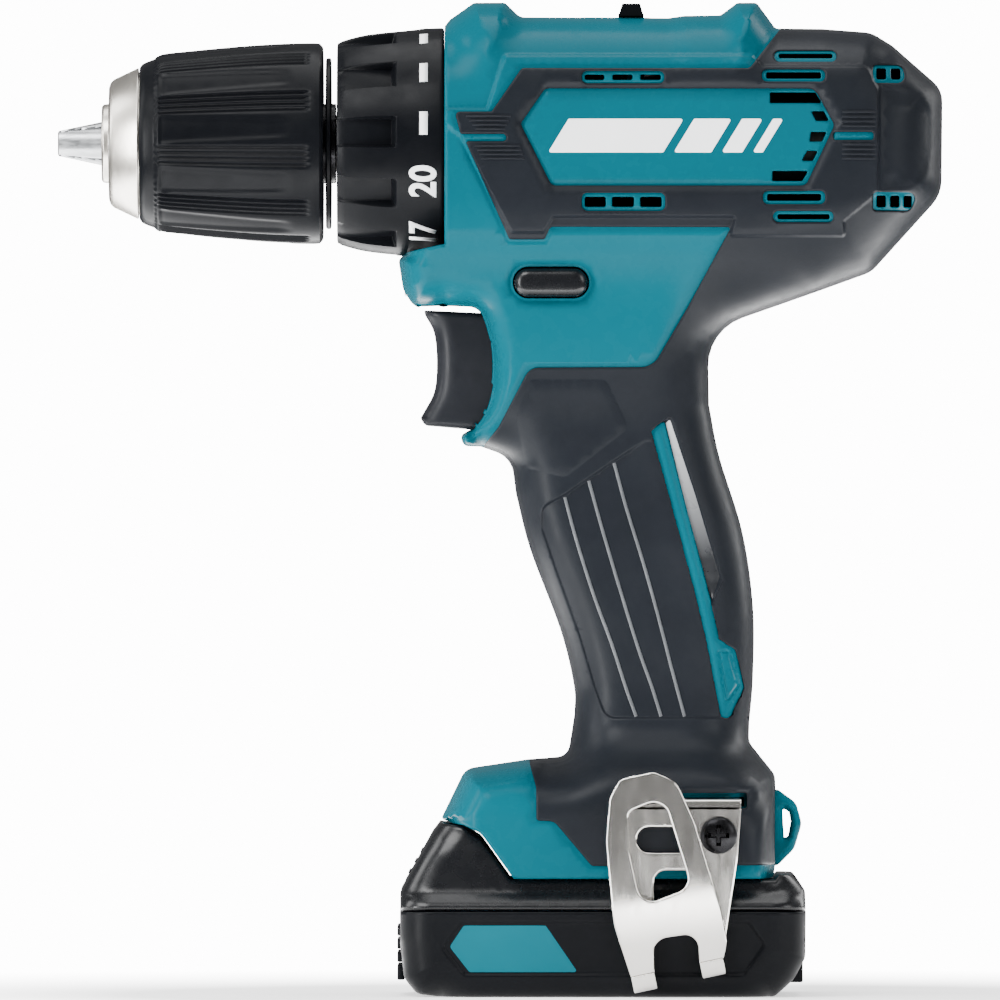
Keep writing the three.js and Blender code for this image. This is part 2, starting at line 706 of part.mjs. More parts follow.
// the screw down the middle of the chuck that keeps it on the spindle
function chuckScrew() {
  const head = rod([-80, 0, axisZ], [-77.3, 0, axisZ], 4.6, 16);
  return join(head, rod([-78, 0, axisZ], [-66, 0, axisZ], 2.5, 12));
}

function chuckSleeve() {
  const sleeve = turnedOnAxis([
    [-98.9, 15.6], [-98.9, 16.8], [-93.8, 18.9], [-61, 21.3], [-59.6, 20.6], [-59.6, 16.4], [-95, 16.4], [-95, 15.6],
  ], 24);
  const grooves = Array.from({ length: rimGrips }, (_, i) => {
    const groove = rod([-94, 20.4, 0], [-63, 22.4, 0], 1.4, 5);
    return groove.rotateX((2 * Math.PI * (i + 0.75)) / rimGrips).translate(0, 0, axisZ);
  });
  return cut(sleeve, ...grooves);
}

function jawNut() {
  return turnedOnAxis([[nutX[0], 10.25], [nutX[0], 16.1], [nutX[1], 16.1], [nutX[1], 11.75]], 24);
}

function torqueRing() {
  const body = turnedOnAxis([
    [-56.7, 9.4], [-56.7, 21.6], [-50, 23.3], [-43, 24], [ringRear, 24.8], [ringRear, 20.9], [-54.6, 20.9],
    [-54.6, 9.4],
  ], 24);
  const pockets = Array.from({ length: rimGrips }, (_, i) => {
    const pocket = box(-60, -44.5, 21.6, 30, -3, 3);
    return pocket.rotateX((2 * Math.PI * (i + 0.341)) / rimGrips).translate(0, 0, axisZ);
  });
  return cut(body, ...pockets);
}

// ------------------------------------------------------------------ controls

const triggerFront = [
  [-37.3, 146.0], [-37.8, 145.2], [-36.0, 141.5], [-35.4, 137.0], [-35.5, 132.0], [-36.2, 128.0], [-38.4, 124.0],
  [-38.5, 122.6], [-37.2, 121.8],
];

function trigger() {
  const shell = alongY(outline([...triggerFront, [-21, 121.4], [-21, 145.4]]), -10, 10);
  const stem = rod([-22, 0, 136], [-13.2, 0, 136], 2.2, 12);
  return join(shell, stem);
}

function directionButton() {
  return alongY(buttonOutline, -23.4, 23.4);
}

function speedSelector() {
  const knob = alongY(outline([[3.2, 208.4], [9, 208.4], [8, 211.7], [4.2, 211.7]]), -6.5, 6.5);
  const stem = box(3.4, 8.8, -3, 3, 203.6, 208.8);
  const plate = box(-25.5, 8.8, -4.5, 4.5, 203.2, 204.9);
  const fork = box(-25.5, -21.5, -2.6, 2.6, 200.4, 203.6);
  const lifted = cut(knob, box(0, 12, -10, 10, 205, 209.1));
  return join(lifted, stem, plate, fork, box(3.4, 8.8, -3, 3, 208, 209.6));
}

function ledLamp() {
  const barrel = rod([-42.3, 0, 151.6], [-36, 0, 151.6], 2.4, 12);
  return join(barrel, box(-36.5, -34.9, -2.6, 2.6, 149, 154.2));
}

function terminalBlock() {
  const block = box(-8, 26, -13, 13, 34.8, 43);
  const slits = [-8, 0, 8].map((y) => box(-9, 14, y - 0.8, y + 0.8, 34, 40));
  return cut(block, ...slits);
}

// ------------------------------------------------------------------ battery

const lowerStations = [
  [battery.seam, -43.2, 43.2, battery.halfWidth],
  [13.0, -43.2, 43.2, battery.halfWidth],
  [4.5, -42.6, 41.5, battery.halfWidth - 0.4],
  [2.0, -41.3, 38.6, battery.halfWidth - 1.4],
  [0.0, -35.5, 35.6, battery.halfWidth - 4.5],
];

const upperStations = [
  [battery.top, -42.6, 41.6, battery.halfWidth - 1.6],
  [22.5, -43.2, 43.0, battery.halfWidth - 0.6],
  [battery.seam + gap, -43.2, 43.2, battery.halfWidth],
];

const towerOutline = [
  [-43.1, 22.0], [-42.5, 24.6], [-36.6, 34.8], [-34.6, 37.2], [-33.4, 36.8], [-29.6, 36.2], [-27.6, 35.3],
  [-25.5, 33.3], [-19.3, 24.9], [-19.3, 21.0],
];

// a rectangle on the sloping front: s runs up the slope and d runs into the case
function slopeOutline(s0, s1, d0, d1) {
  const up = new THREE.Vector2(5.9, 10.2).normalize();
  const into = new THREE.Vector2(up.y, -up.x);
  const start = new THREE.Vector2(-42.5, 24.6);
  return outline([[s0, d0], [s1, d0], [s1, d1], [s0, d1]].map(([s, d]) => {
    const at = start.clone().addScaledVector(up, s).addScaledVector(into, d);
    return [at.x, at.y];
  }));
}

function batteryLowerCase() {
  const shell = loftAlongZ(lowerStations, 5, 0, 28);
  const room = box(-34, 34, -28.6, 28.6, 1.6, 40);
  return cut(shell, room);
}

function batteryUpperCase() {
  const lid = loftAlongZ(upperStations, 5, 0, 28);
  const tower = common(alongY(outline(towerOutline), -29, 29), loftAlongZ([
    [40, -46, -10, 25.5], [30, -46, -10, 28.4], [20, -46, -10, 30.4],
  ], 6, 0, 24));
  const rail = box(-22, 33.4, -24, 24, 24, 33.5);
  const flange = box(-20, 33.4, -27.8, 27.8, 28.6, 33.5);
  const room = box(-34, 34, -28.6, 28.6, 15, 22.9);
  const upperRoom = box(-16, 31.4, -22, 22, 20, 31.6);
  const latchRoom = alongY(slopeOutline(0.3, 11.4, -4, 5.2), -14.4, 14.4);
  const contacts = [-8, 0, 8].map((y) => box(2, 36, y - 0.9, y + 0.9, 31, 34));
  return cut(join(lid, tower, rail, flange), room, upperRoom, latchRoom, ...contacts);
}

// the release button on the battery's sloping front
function batteryLatch() {
  return alongY(slopeOutline(0.7, 11, 0.2, 1.8), -14, 14);
}

function batteryCell(row) {
  const y = row * 18.8;
  return rod([-32.5, y, 11.0], [32.5, y, 11.0], 9.15, 24);
}

function batteryBoard() {
  return box(-14, 30, -20, 20, 23.6, 25.2);
}

// ------------------------------------------------------------------ the assembly

const drill = new THREE.Group();

function add(name, look, geometry) {
  const mesh = new THREE.Mesh(geometry, new THREE.MeshStandardMaterial(finish[look]));
  mesh.name = name;
  drill.add(mesh);
}

const housing = wholeHousing();
const overmould = wholeOvermould();
for (const [side, word] of [[-1, 'left'], [1, 'right']]) {
  add(`${word}_housing`, 'teal', common(housing, halfSpace(side)));
  add(`${word}_overmould`, 'rubber', common(overmould, halfSpace(side)));
}
housingScrews.forEach(({ x, z, head }, i) => {
  add(`housing_screw_${i + 1}`, 'steel', panScrew(x, z, head, -8.5, 2.8, 1.45));
});

add('belt_clip', 'nickel', beltClip());
const clipScrew = panScrew(24.5, 34.5, 0, -5.4, 4, 1.55).rotateZ(Math.PI);
add('belt_clip_screw', 'darkSteel', clipScrew.translate(49, clip.inner - clip.thickness - gap, 0));

add('switch_body', 'blackPlastic', switchBody());
add('led_lamp', 'lens', ledLamp());
add('terminal_block', 'blackPlastic', terminalBlock());
add('motor_can', 'steel', motorCan());
add('motor_end_cap', 'blackPlastic', motorEndCap());
add('carbon_brush_1', 'carbon', carbonBrush(-1));
add('carbon_brush_2', 'carbon', carbonBrush(1));

add('gear_case', 'darkSteel', gearCase());
add('gear_case_plate', 'steel', gearCasePlate());
add('ring_gear_1', 'sintered', ringGear(stage1.ring));
add('ring_gear_2', 'sintered', ringGear(stage2.ring));
add('ring_gear_3', 'sintered', ringGear(stage3.ring));
add('clutch_spring', 'steel', clutchSpring());
add('spindle_bearing', 'steel', ring(-52.6, -46.6, 6.3, 9.3, 28));

add('armature', 'copper', armature());
add('cooling_fan', 'blackPlastic', coolingFan());
add('pinion', 'sintered', pinion());
add('carrier_1', 'sintered', carrier(-19, -16.8, stage2.planet[0] + 0.2, stage1.planet[1] - 0.2));
add('carrier_2', 'sintered', carrier(-30, -27.6, stage3.planet[0] + 0.2, stage2.planet[1] - 0.2));
for (const [number, stage] of [[1, stage1], [2, stage2], [3, stage3]]) {
  for (let k = 0; k < planets; k += 1) {
    add(`planet_${number}${'abc'[k]}`, 'sintered', planetGear(stage.planet, k));
  }
}

add('output_spindle', 'steel', spindle());
add('chuck_body', 'nickel', chuckBody());
add('chuck_rear_ring', 'blackPlastic', ring(-59, -58, 8.8, 18.3, 30));
add('chuck_screw', 'darkSteel', chuckScrew());
add('chuck_sleeve', 'blackPlastic', chuckSleeve());
add('jaw_nut', 'steel', jawNut());
for (let k = 0; k < 3; k += 1) {
  add(`chuck_jaw_${k + 1}`, 'darkSteel', chuckJaw(k));
}

add('torque_ring', 'blackPlastic', torqueRing());
add('speed_selector', 'blackPlastic', speedSelector());
add('direction_button', 'glossBlack', directionButton());
add('trigger', 'blackPlastic', trigger());

add('battery_lower_case', 'blackPlastic', batteryLowerCase());
add('battery_upper_case', 'glossBlack', batteryUpperCase());
add('battery_latch', 'glossBlack', batteryLatch());
add('battery_board', 'board', batteryBoard());
for (let row = -1; row <= 1; row += 1) {
  add(`battery_cell_${row + 2}`, 'cellWrap', batteryCell(row));
}

export default drill;
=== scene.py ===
"""Looks of a cordless drill driver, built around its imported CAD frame.

Shapes are worked out in millimetres, in the frame's own axes, and become metres as each mesh is made.
The chuck points to -X, +Z is up, and the side with the belt clip faces -Y and the camera.
"""
import json
import math

import bmesh
import bpy
import numpy as np
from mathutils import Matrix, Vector
from mathutils.geometry import delaunay_2d_cdt

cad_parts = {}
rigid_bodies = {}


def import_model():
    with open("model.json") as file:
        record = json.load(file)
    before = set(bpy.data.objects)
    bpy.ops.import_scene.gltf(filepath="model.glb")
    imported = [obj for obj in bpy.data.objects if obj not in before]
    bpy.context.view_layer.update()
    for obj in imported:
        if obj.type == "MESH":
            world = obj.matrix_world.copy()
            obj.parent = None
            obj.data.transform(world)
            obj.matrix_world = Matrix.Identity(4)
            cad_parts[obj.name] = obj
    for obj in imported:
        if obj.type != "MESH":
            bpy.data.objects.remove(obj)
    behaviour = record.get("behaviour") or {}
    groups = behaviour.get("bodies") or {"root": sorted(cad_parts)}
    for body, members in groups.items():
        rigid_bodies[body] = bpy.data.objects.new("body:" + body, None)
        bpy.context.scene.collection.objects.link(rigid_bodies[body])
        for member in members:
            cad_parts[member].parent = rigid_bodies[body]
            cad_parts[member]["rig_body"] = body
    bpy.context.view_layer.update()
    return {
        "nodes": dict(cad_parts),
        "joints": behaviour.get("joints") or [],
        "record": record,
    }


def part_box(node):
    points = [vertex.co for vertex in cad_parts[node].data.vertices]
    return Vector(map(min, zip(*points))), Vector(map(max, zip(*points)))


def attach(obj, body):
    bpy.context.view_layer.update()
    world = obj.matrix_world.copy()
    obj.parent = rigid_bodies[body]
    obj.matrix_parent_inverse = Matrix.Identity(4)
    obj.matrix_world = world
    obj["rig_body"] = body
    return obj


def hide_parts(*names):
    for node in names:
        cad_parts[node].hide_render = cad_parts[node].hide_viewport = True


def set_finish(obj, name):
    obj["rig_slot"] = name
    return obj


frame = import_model()

# ------------------------------------------------------------------ sizes taken from the frame

MM = 0.001


def node_box(name):
    """The lowest and highest corners of a CAD node, in millimetres."""
    low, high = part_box(name)
    return np.array(low) / MM, np.array(high) / MM


ring_low, ring_high = node_box("torque_ring")
sleeve_low, sleeve_high = node_box("chuck_sleeve")
jaw_low, _ = node_box("chuck_jaw_1")
motor_low, motor_high = node_box("motor_can")
battery_low, battery_high = node_box("battery_lower_case")
_, trigger_high = node_box("trigger")
button_low, button_high = node_box("direction_button")
clip_low, _ = node_box("belt_clip")

AXIS_Z = (motor_low[2] + motor_high[2]) / 2     # height of the spindle axis
SPLIT = 0.03                                    # half the parting gap between the housing halves
RUBBER = 1.4                                    # thickness of the soft overmould
PROUD = 0.35                                    # how far the overmould stands above the hard shell
HARD_WALL = 3.4                                 # wall of the hard shell

# ------------------------------------------------------------------ outlines in (x, z)


def rounded(corners, closed=True):
    """An outline through corners given as (x, z) or (x, z, fillet radius)."""
    count = len(corners)
    points = []
    for i, corner in enumerate(corners):
        here = np.array(corner[:2], float)
        radius = corner[2] if len(corner) > 2 else 0.0
        end = not closed and i in (0, count - 1)
        if radius <= 0 or end:
            points.append(here)
            continue
        back = np.array(corners[i - 1][:2], float) - here
        ahead = np.array(corners[(i + 1) % count][:2], float) - here
        back_length, ahead_length = np.linalg.norm(back), np.linalg.norm(ahead)
        back, ahead = back / back_length, ahead / ahead_length
        angle = math.acos(max(-1.0, min(1.0, float(back @ ahead))))
        turn = math.pi - angle
        if turn < 0.02:
            points.append(here)
            continue
        reach = min(radius / math.tan(angle / 2), 0.49 * back_length, 0.49 * ahead_length)
        start, finish = here + back * reach, here + ahead * reach
        centre = here + (back + ahead) / np.linalg.norm(back + ahead) * (reach / math.cos(angle / 2))
        steps = max(2, math.ceil(turn / 0.22))
        for k in range(steps + 1):
            share = k / steps
            spoke = ((start - centre) * math.sin((1 - share) * turn)
                     + (finish - centre) * math.sin(share * turn))
            points.append(centre + spoke / math.sin(turn) if turn < 3.0 else start + (finish - start) * share)
    return np.array(points)


def slot(x0, x1, z0, z1, radius=0.6):
    """A rectangle with rounded corners."""
    return rounded([(x0, z0, radius), (x1, z0, radius), (x1, z1, radius), (x0, z1, radius)])


def disc(x, z, radius, steps=28):
    angles = np.linspace(0, 2 * math.pi, steps, endpoint=False)
    return np.column_stack([x + radius * np.cos(angles), z + radius * np.sin(angles)])


def spline(keys, steps=6):
    """A smooth open curve through a few points."""
    keys = np.array(keys, float)
    padded = np.vstack([2 * keys[0] - keys[1], keys, 2 * keys[-1] - keys[-2]])
    points = [keys[0]]
    for a, b, c, d in zip(padded, padded[1:], padded[2:], padded[3:]):
        for k in range(1, steps + 1):
            t = k / steps
            points.append(0.5 * (2 * b + (c - a) * t + (2 * a - 5 * b + 4 * c - d) * t ** 2
                                 + (3 * b - a - 3 * c + d) * t ** 3))
    return np.array(points)


def resampled(points, spacing, closed=True):
    """The same line with no stretch longer than spacing."""
    out = []
    ends = np.roll(points, -1, axis=0) if closed else points[1:]
    for start, finish in zip(points, ends):
        steps = max(1, math.ceil(np.linalg.norm(finish - start) / spacing))
        for k in range(steps):
            out.append(start + (finish - start) * k / steps)
    if not closed:
        out.append(points[-1])
    return np.array(out)


def segments(line, closed):
    return (line, np.roll(line, -1, axis=0)) if closed else (line[:-1], line[1:])


def distance(p, line, closed=True, reach=None):
    """Distance from each point to a line. Points farther than reach from its box get reach."""
    result = np.full(len(p), 1e3 if reach is None else float(reach))
    near = np.arange(len(p))
    if reach is not None:
        low, high = line.min(0) - reach, line.max(0) + reach
        near = np.nonzero(((p > low) & (p < high)).all(1))[0]
    a, b = segments(line, closed)
    span = b - a
    length2 = np.maximum((span ** 2).sum(1), 1e-12)
    for chunk in np.array_split(near, max(1, len(near) // 6000 + 1)):
        if not len(chunk):
            continue
        offset = p[chunk][:, None, :] - a[None]
        share = np.clip((offset * span).sum(2) / length2, 0, 1)
        gap = offset - share[..., None] * span
        found = np.sqrt((gap ** 2).sum(2).min(1))
        result[chunk] = found if reach is None else np.minimum(found, reach)
    return result


def inside(p, line):
    """True for each point inside a closed outline."""
    result = np.zeros(len(p), bool)
    low, high = line.min(0), line.max(0)
    near = np.nonzero(((p >= low) & (p <= high)).all(1))[0]
    a, b = segments(line, True)
    for chunk in np.array_split(near, max(1, len(near) // 6000 + 1)):
        x, z = p[chunk, 0][:, None], p[chunk, 1][:, None]
        crosses = (a[:, 1] > z) != (b[:, 1] > z)
        rise = np.where(b[:, 1] == a[:, 1], 1e-12, b[:, 1] - a[:, 1])
        at = (b[:, 0] - a[:, 0]) * (z - a[:, 1]) / rise + a[:, 0]
        result[chunk] = (crosses & (x < at)).sum(1) % 2 == 1
    return result


def within(outline, holes=()):
    """A test that is true for points inside an outline and outside its holes."""
    def keep(p):
        result = inside(p, outline)
        for hole in holes:
            result &= ~inside(p, hole)
        return result
    return keep


def signed(p, line, reach=6.0):
    """Distance to a closed outline, negative inside it."""
    gap = distance(p, line, True, reach)
    return np.where(inside(p, line), -gap, gap)


def ramp(value, start, finish):
    """0 up to start, 1 from finish on, with a smooth rise between."""
    t = np.clip((value - start) / (finish - start), 0, 1)
    return t * t * (3 - 2 * t)


def curve(keys):
    """A smooth function through (input, output) keys that doesn't overshoot them."""
    at, value = np.array(sorted(keys), float).T
    step = np.diff(at)
    slope = np.diff(value) / step
    tangent = np.zeros(len(at))
    for i in range(1, len(at) - 1):
        if slope[i - 1] * slope[i] > 0:
            tangent[i] = 2 / (1 / slope[i - 1] + 1 / slope[i])

    def function(x):
        x = np.clip(x, at[0], at[-1])
        i = np.clip(np.searchsorted(at, x) - 1, 0, len(step) - 1)
        t = (x - at[i]) / step[i]
        return (value[i] * (1 + 2 * t) * (1 - t) ** 2 + tangent[i] * step[i] * t * (1 - t) ** 2
                + value[i + 1] * t ** 2 * (3 - 2 * t) + tangent[i + 1] * step[i] * t ** 2 * (t - 1))
    return function


# ------------------------------------------------------------------ making meshes


def make_object(name, vertices, faces, material, normals=None):
    """A smooth mesh object from millimetre vertices, with a normal for each face corner if given."""
    mesh = bpy.data.meshes.new(name)
    mesh.from_pydata([tuple(v) for v in np.asarray(vertices, float) * MM], [], faces)
    mesh.polygons.foreach_set("use_smooth", [True] * len(mesh.polygons))
    if normals is not None:
        mesh.normals_split_custom_set([tuple(n) for n in normals])
    mesh.materials.append(material)
    obj = bpy.data.objects.new(name, mesh)
    bpy.context.scene.collection.objects.link(obj)
    return obj


def place(obj, body, slot_name, *nodes):
    """The piece moves with a body, takes a material slot, and may stand for CAD nodes."""
    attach(obj, body)
    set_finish(obj, slot_name)
    if nodes:
        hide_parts(*nodes)
    return obj


def scatter_points(lines, keep, spacing, rings):
    """Loose points for a plate: an even grid, and rows beside each line at the distances in rings.

    Distances over one millimetre are for the first line only, which is the plate's outer edge.
    """
    low = np.min([line.min(0) for line in lines], axis=0)
    high = np.max([line.max(0) for line in lines], axis=0)
    grid_x, grid_z = np.meshgrid(np.arange(low[0], high[0], spacing), np.arange(low[1], high[1], spacing))
    grid_x[1::2] += spacing / 2
    clouds = [np.column_stack([grid_x.ravel(), grid_z.ravel()])]
    for number, line in enumerate(lines):
        along = np.roll(line, -1, axis=0) - np.roll(line, 1, axis=0)
        along /= np.maximum(np.linalg.norm(along, axis=1), 1e-9)[:, None]
        across = np.column_stack([along[:, 1], -along[:, 0]])
        for reach in [r for r in rings if r < 1 or number == 0]:
            for side in (-1, 1):
                row = line + across * reach * side
                clouds.append(row[distance(row, line, True, reach * 1.5) > 0.93 * reach])
    points = np.vstack(clouds)
    clear = np.min([distance(points, line, True, 1.0) for line in lines], axis=0)
    closest = 0.8 * min(rings) if rings else 0.1
    points = points[(clear > closest) & keep(points)]
    cell = np.unique(np.round(points / (0.7 * min(rings) if rings else 0.2)).astype(int), axis=0,
                     return_index=True)
    return points[np.sort(cell[1])]


def triangulated(lines, keep, spacing, rings, line_spacing, seams=()):
    """Triangles that fill the kept area, with every line and seam an edge of them."""
    lines = [resampled(line, line_spacing) for line in lines]
    loose = scatter_points(lines, keep, spacing, rings)
    seams = [resampled(seam, line_spacing) for seam in seams]
    for seam in seams:
        loose = loose[distance(loose, seam, True, 1.0) > 0.35]
        lines.append(seam)
    points, edges = [loose], []
    start = len(loose)
    for line in lines:
        points.append(line)
        edges += [(start + i, start + (i + 1) % len(line)) for i in range(len(line))]
        start += len(line)
    cloud = [Vector(p) for p in np.vstack(points)]
    flat, _, faces, _, _, _ = delaunay_2d_cdt(cloud, edges, [], 0, 1e-5)
    flat = np.array([tuple(v) for v in flat])
    faces = np.array([f for f in faces if len(f) == 3])
    faces = faces[keep(flat[faces].mean(1))]
    a, b, c = flat[faces[:, 0]], flat[faces[:, 1]], flat[faces[:, 2]]
    area = (b[:, 0] - a[:, 0]) * (c[:, 1] - a[:, 1]) - (b[:, 1] - a[:, 1]) * (c[:, 0] - a[:, 0])
    faces = faces[np.abs(area) > 1e-7]
    area = area[np.abs(area) > 1e-7]
    faces[area < 0] = faces[area < 0][:, ::-1]
    used, faces = np.unique(faces, return_inverse=True)
    return flat[used], faces.reshape(-1, 3)


def slopes(height, p):
    """Gradient of a height function at each point."""
    step = 0.04
    dx, dz = np.array([step, 0]), np.array([0, step])
    return np.column_stack([(height(p + dx) - height(p - dx)) / (2 * step),
                            (height(p + dz) - height(p - dz)) / (2 * step)])


def unit(vectors):
    return vectors / np.maximum(np.linalg.norm(vectors, axis=1), 1e-9)[:, None]


def plate(name, side, lines, keep, top, bottom, material, spacing=2.2, rings=(0.25, 0.7), line_spacing=1.2,
          mirrored=False, seams=()):
    """A closed slab seen from one side. top and bottom are its heights above the split plane."""
    flat, faces = triangulated(lines, keep, spacing, rings, line_spacing, seams)
    high, low = top(flat), bottom(flat)
    low = np.minimum(low, high)
    solid = (high - low > 1e-3)[faces].any(1)
    faces = faces[solid]
    used, faces = np.unique(faces, return_inverse=True)
    faces = faces.reshape(-1, 3)
    flat, high, low = flat[used], high[used], low[used]
    count = len(flat)
    back = np.where(high - low > 1e-3, np.arange(count) + count, np.arange(count))
    vertices = np.vstack([np.column_stack([flat[:, 0], side * high, flat[:, 1]]),
                          np.column_stack([flat[:, 0], side * low, flat[:, 1]])])
    edges = np.vstack([faces[:, [0, 1]], faces[:, [1, 2]], faces[:, [2, 0]]])
    key = np.sort(edges, axis=1)
    _, first, times = np.unique(key, axis=0, return_index=True, return_counts=True)
    rim = edges[first[times == 1]]
    rim = rim[(back[rim] != rim).any(1)]
    outward = np.zeros((count, 2))
    along = flat[rim[:, 1]] - flat[rim[:, 0]]
    across = unit(np.column_stack([along[:, 1], -along[:, 0]]))
    np.add.at(outward, rim[:, 0], across)
    np.add.at(outward, rim[:, 1], across)
    outward = unit(outward)

    just_inside = 0.06 * outward
    slope = slopes(top, flat - just_inside)
    top_normal = unit(np.column_stack([-slope[:, 0], np.full(count, side), -slope[:, 1]]))
    wall_normal = np.column_stack([outward[:, 0], np.zeros(count), outward[:, 1]])
    back_normal = top_normal * (1, -1, 1) if mirrored else -top_normal

    polygons, normals = [], []

    def add(indices, corner_normals):
        if side > 0:
            indices, corner_normals = indices[::-1], corner_normals[::-1]
        polygons.append([int(i) for i in indices])
        normals.extend(corner_normals)

    for face in faces:
        add(list(face), [top_normal[i] for i in face])
        under = [back[i] for i in face][::-1]
        if (back[face] != face).any():
            add(under, [back_normal[i] for i in face][::-1])
    for i, j in rim:
        corners = [j, i] + [k for k in (back[i], back[j]) if k not in (i, j)]
        add(corners, [wall_normal[k % count] for k in corners])
    return make_object(name, vertices, polygons, material, normals)


def edge_drop(gap, radius):
    """How far a surface falls near its rounded border, for the distance from the border."""
    t = np.clip(gap / radius, 0, 1)
    return radius * (1 - np.sqrt(np.maximum(1 - (1 - t) ** 2, 0)))


def turned(name, profile, material, steps=96, bevel=0.0, sharp=30):
    """A closed profile of (x, radius) turned about the spindle axis, with its sharp edges bevelled."""
    count = len(profile)
    vertices, faces = [], []
    for k in range(steps):
        angle = 2 * math.pi * k / steps
        for x, radius in profile:
            vertices.append((x, -radius * math.cos(angle), AXIS_Z + radius * math.sin(angle)))
    for k in range(steps):
        for i in range(count):
            a, b = k * count + i, k * count + (i + 1) % count
            c, d = ((k + 1) % steps) * count + (i + 1) % count, ((k + 1) % steps) * count + i
            faces.append([a, b, c, d])
    obj = make_object(name, vertices, faces, material)
    tidy_mesh(obj)
    if bevel:
        add_bevel(obj, bevel, sharp)
    return obj


def tidy_mesh(obj):
    """Merges the vertices that meet, drops flat faces and turns all faces outward."""
    work = bmesh.new()
    work.from_mesh(obj.data)
    bmesh.ops.remove_doubles(work, verts=work.verts, dist=1e-6)
    bmesh.ops.dissolve_degenerate(work, edges=work.edges, dist=1e-7)
    bmesh.ops.recalc_face_normals(work, faces=work.faces)
    work.to_mesh(obj.data)
    work.free()


def add_bevel(obj, width, sharp=30, parts=3):
    """Rounds the sharp edges and keeps flat faces flat."""
    bevel = obj.modifiers.new("bevel", "BEVEL")
    bevel.width = width * MM
    bevel.segments = parts
    bevel.limit_method = "ANGLE"
    bevel.angle_limit = math.radians(sharp)
    bevel.harden_normals = True
    return bevel


# ------------------------------------------------------------------ materials


def new_material(name, color, roughness, metallic=0.0, coat=0.0, specular=0.5):
    """A principled material. Returns it with its node tree and shader."""
    material = bpy.data.materials.new(name)
    material.use_nodes = True
    tree = material.node_tree
    shader = tree.nodes["Principled BSDF"]
    shader.inputs["Base Color"].default_value = (*color, 1)
    shader.inputs["Roughness"].default_value = roughness
    shader.inputs["Metallic"].default_value = metallic
    shader.inputs["Coat Weight"].default_value = coat
    shader.inputs["Specular IOR Level"].default_value = specular
    return material, tree, shader


def noise_node(tree, scale, detail=3.0, stretch=(1, 1, 1)):
    """Noise in object space, with the density of each direction scaled by stretch."""
    place_node = tree.nodes.new("ShaderNodeTexCoord")
    mapping = tree.nodes.new("ShaderNodeMapping")
    mapping.inputs["Scale"].default_value = stretch
    noise = tree.nodes.new("ShaderNodeTexNoise")
    noise.inputs["Scale"].default_value = scale
    noise.inputs["Detail"].default_value = detail
    tree.links.new(place_node.outputs["Object"], mapping.inputs["Vector"])
    tree.links.new(mapping.outputs["Vector"], noise.inputs["Vector"])
    return noise


def vary(tree, shader, socket, noise, low, high, start=0.35, finish=0.65):
    """Drives a number on the shader between low and high by the noise."""
    spread = tree.nodes.new("ShaderNodeMapRange")
    spread.inputs["From Min"].default_value = start
    spread.inputs["From Max"].default_value = finish
    spread.inputs["To Min"].default_value = low
    spread.inputs["To Max"].default_value = high
    tree.links.new(noise.outputs["Fac"], spread.inputs["Value"])
    tree.links.new(spread.outputs["Result"], shader.inputs[socket])


def tint(tree, shader, noise, first, second, start=0.35, finish=0.65):
    """Blends the base colour between two colours by the noise."""
    blend = tree.nodes.new("ShaderNodeValToRGB")
    blend.color_ramp.elements[0].position = start
    blend.color_ramp.elements[1].position = finish
    blend.color_ramp.elements[0].color = (*first, 1)
    blend.color_ramp.elements[1].color = (*second, 1)
    tree.links.new(noise.outputs["Fac"], blend.inputs["Fac"])
    tree.links.new(blend.outputs["Color"], shader.inputs["Base Color"])


def roughen(tree, shader, noise, strength, depth, chain=None):
    """Adds a bump to the surface; depth is in millimetres."""
    bump = tree.nodes.new("ShaderNodeBump")
    bump.inputs["Strength"].default_value = strength
    bump.inputs["Distance"].default_value = depth * MM
    tree.links.new(noise.outputs["Fac"], bump.inputs["Height"])
    if chain:
        tree.links.new(chain.outputs["Normal"], bump.inputs["Normal"])
    tree.links.new(bump.outputs["Normal"], shader.inputs["Normal"])
    return bump


def moulded(name, dark, light, rough_low, rough_high, grain, depth, coat=0.0, specular=0.5):
    """Moulded plastic: slight tone drift, a fine spark-eroded grain and uneven gloss."""
    material, tree, shader = new_material(name, light, rough_high, coat=coat, specular=specular)
    tint(tree, shader, noise_node(tree, 60, 4), dark, light)
    vary(tree, shader, "Roughness", noise_node(tree, 300, 5), rough_low, rough_high)
    first = roughen(tree, shader, noise_node(tree, grain, 2), 0.5, depth)
    roughen(tree, shader, noise_node(tree, grain / 9, 3), 0.25, depth * 3, first)
    return material


def metal(name, dark, light, rough_low, rough_high, stretch, scale, depth=0.01):
    """Plated or bare metal with tool marks along one direction."""
    material, tree, shader = new_material(name, light, rough_high, metallic=1.0)
    tint(tree, shader, noise_node(tree, 90, 4), dark, light)
    marks = noise_node(tree, scale, 4, stretch)
    vary(tree, shader, "Roughness", marks, rough_low, rough_high)
    roughen(tree, shader, marks, 0.35, depth)
    return material


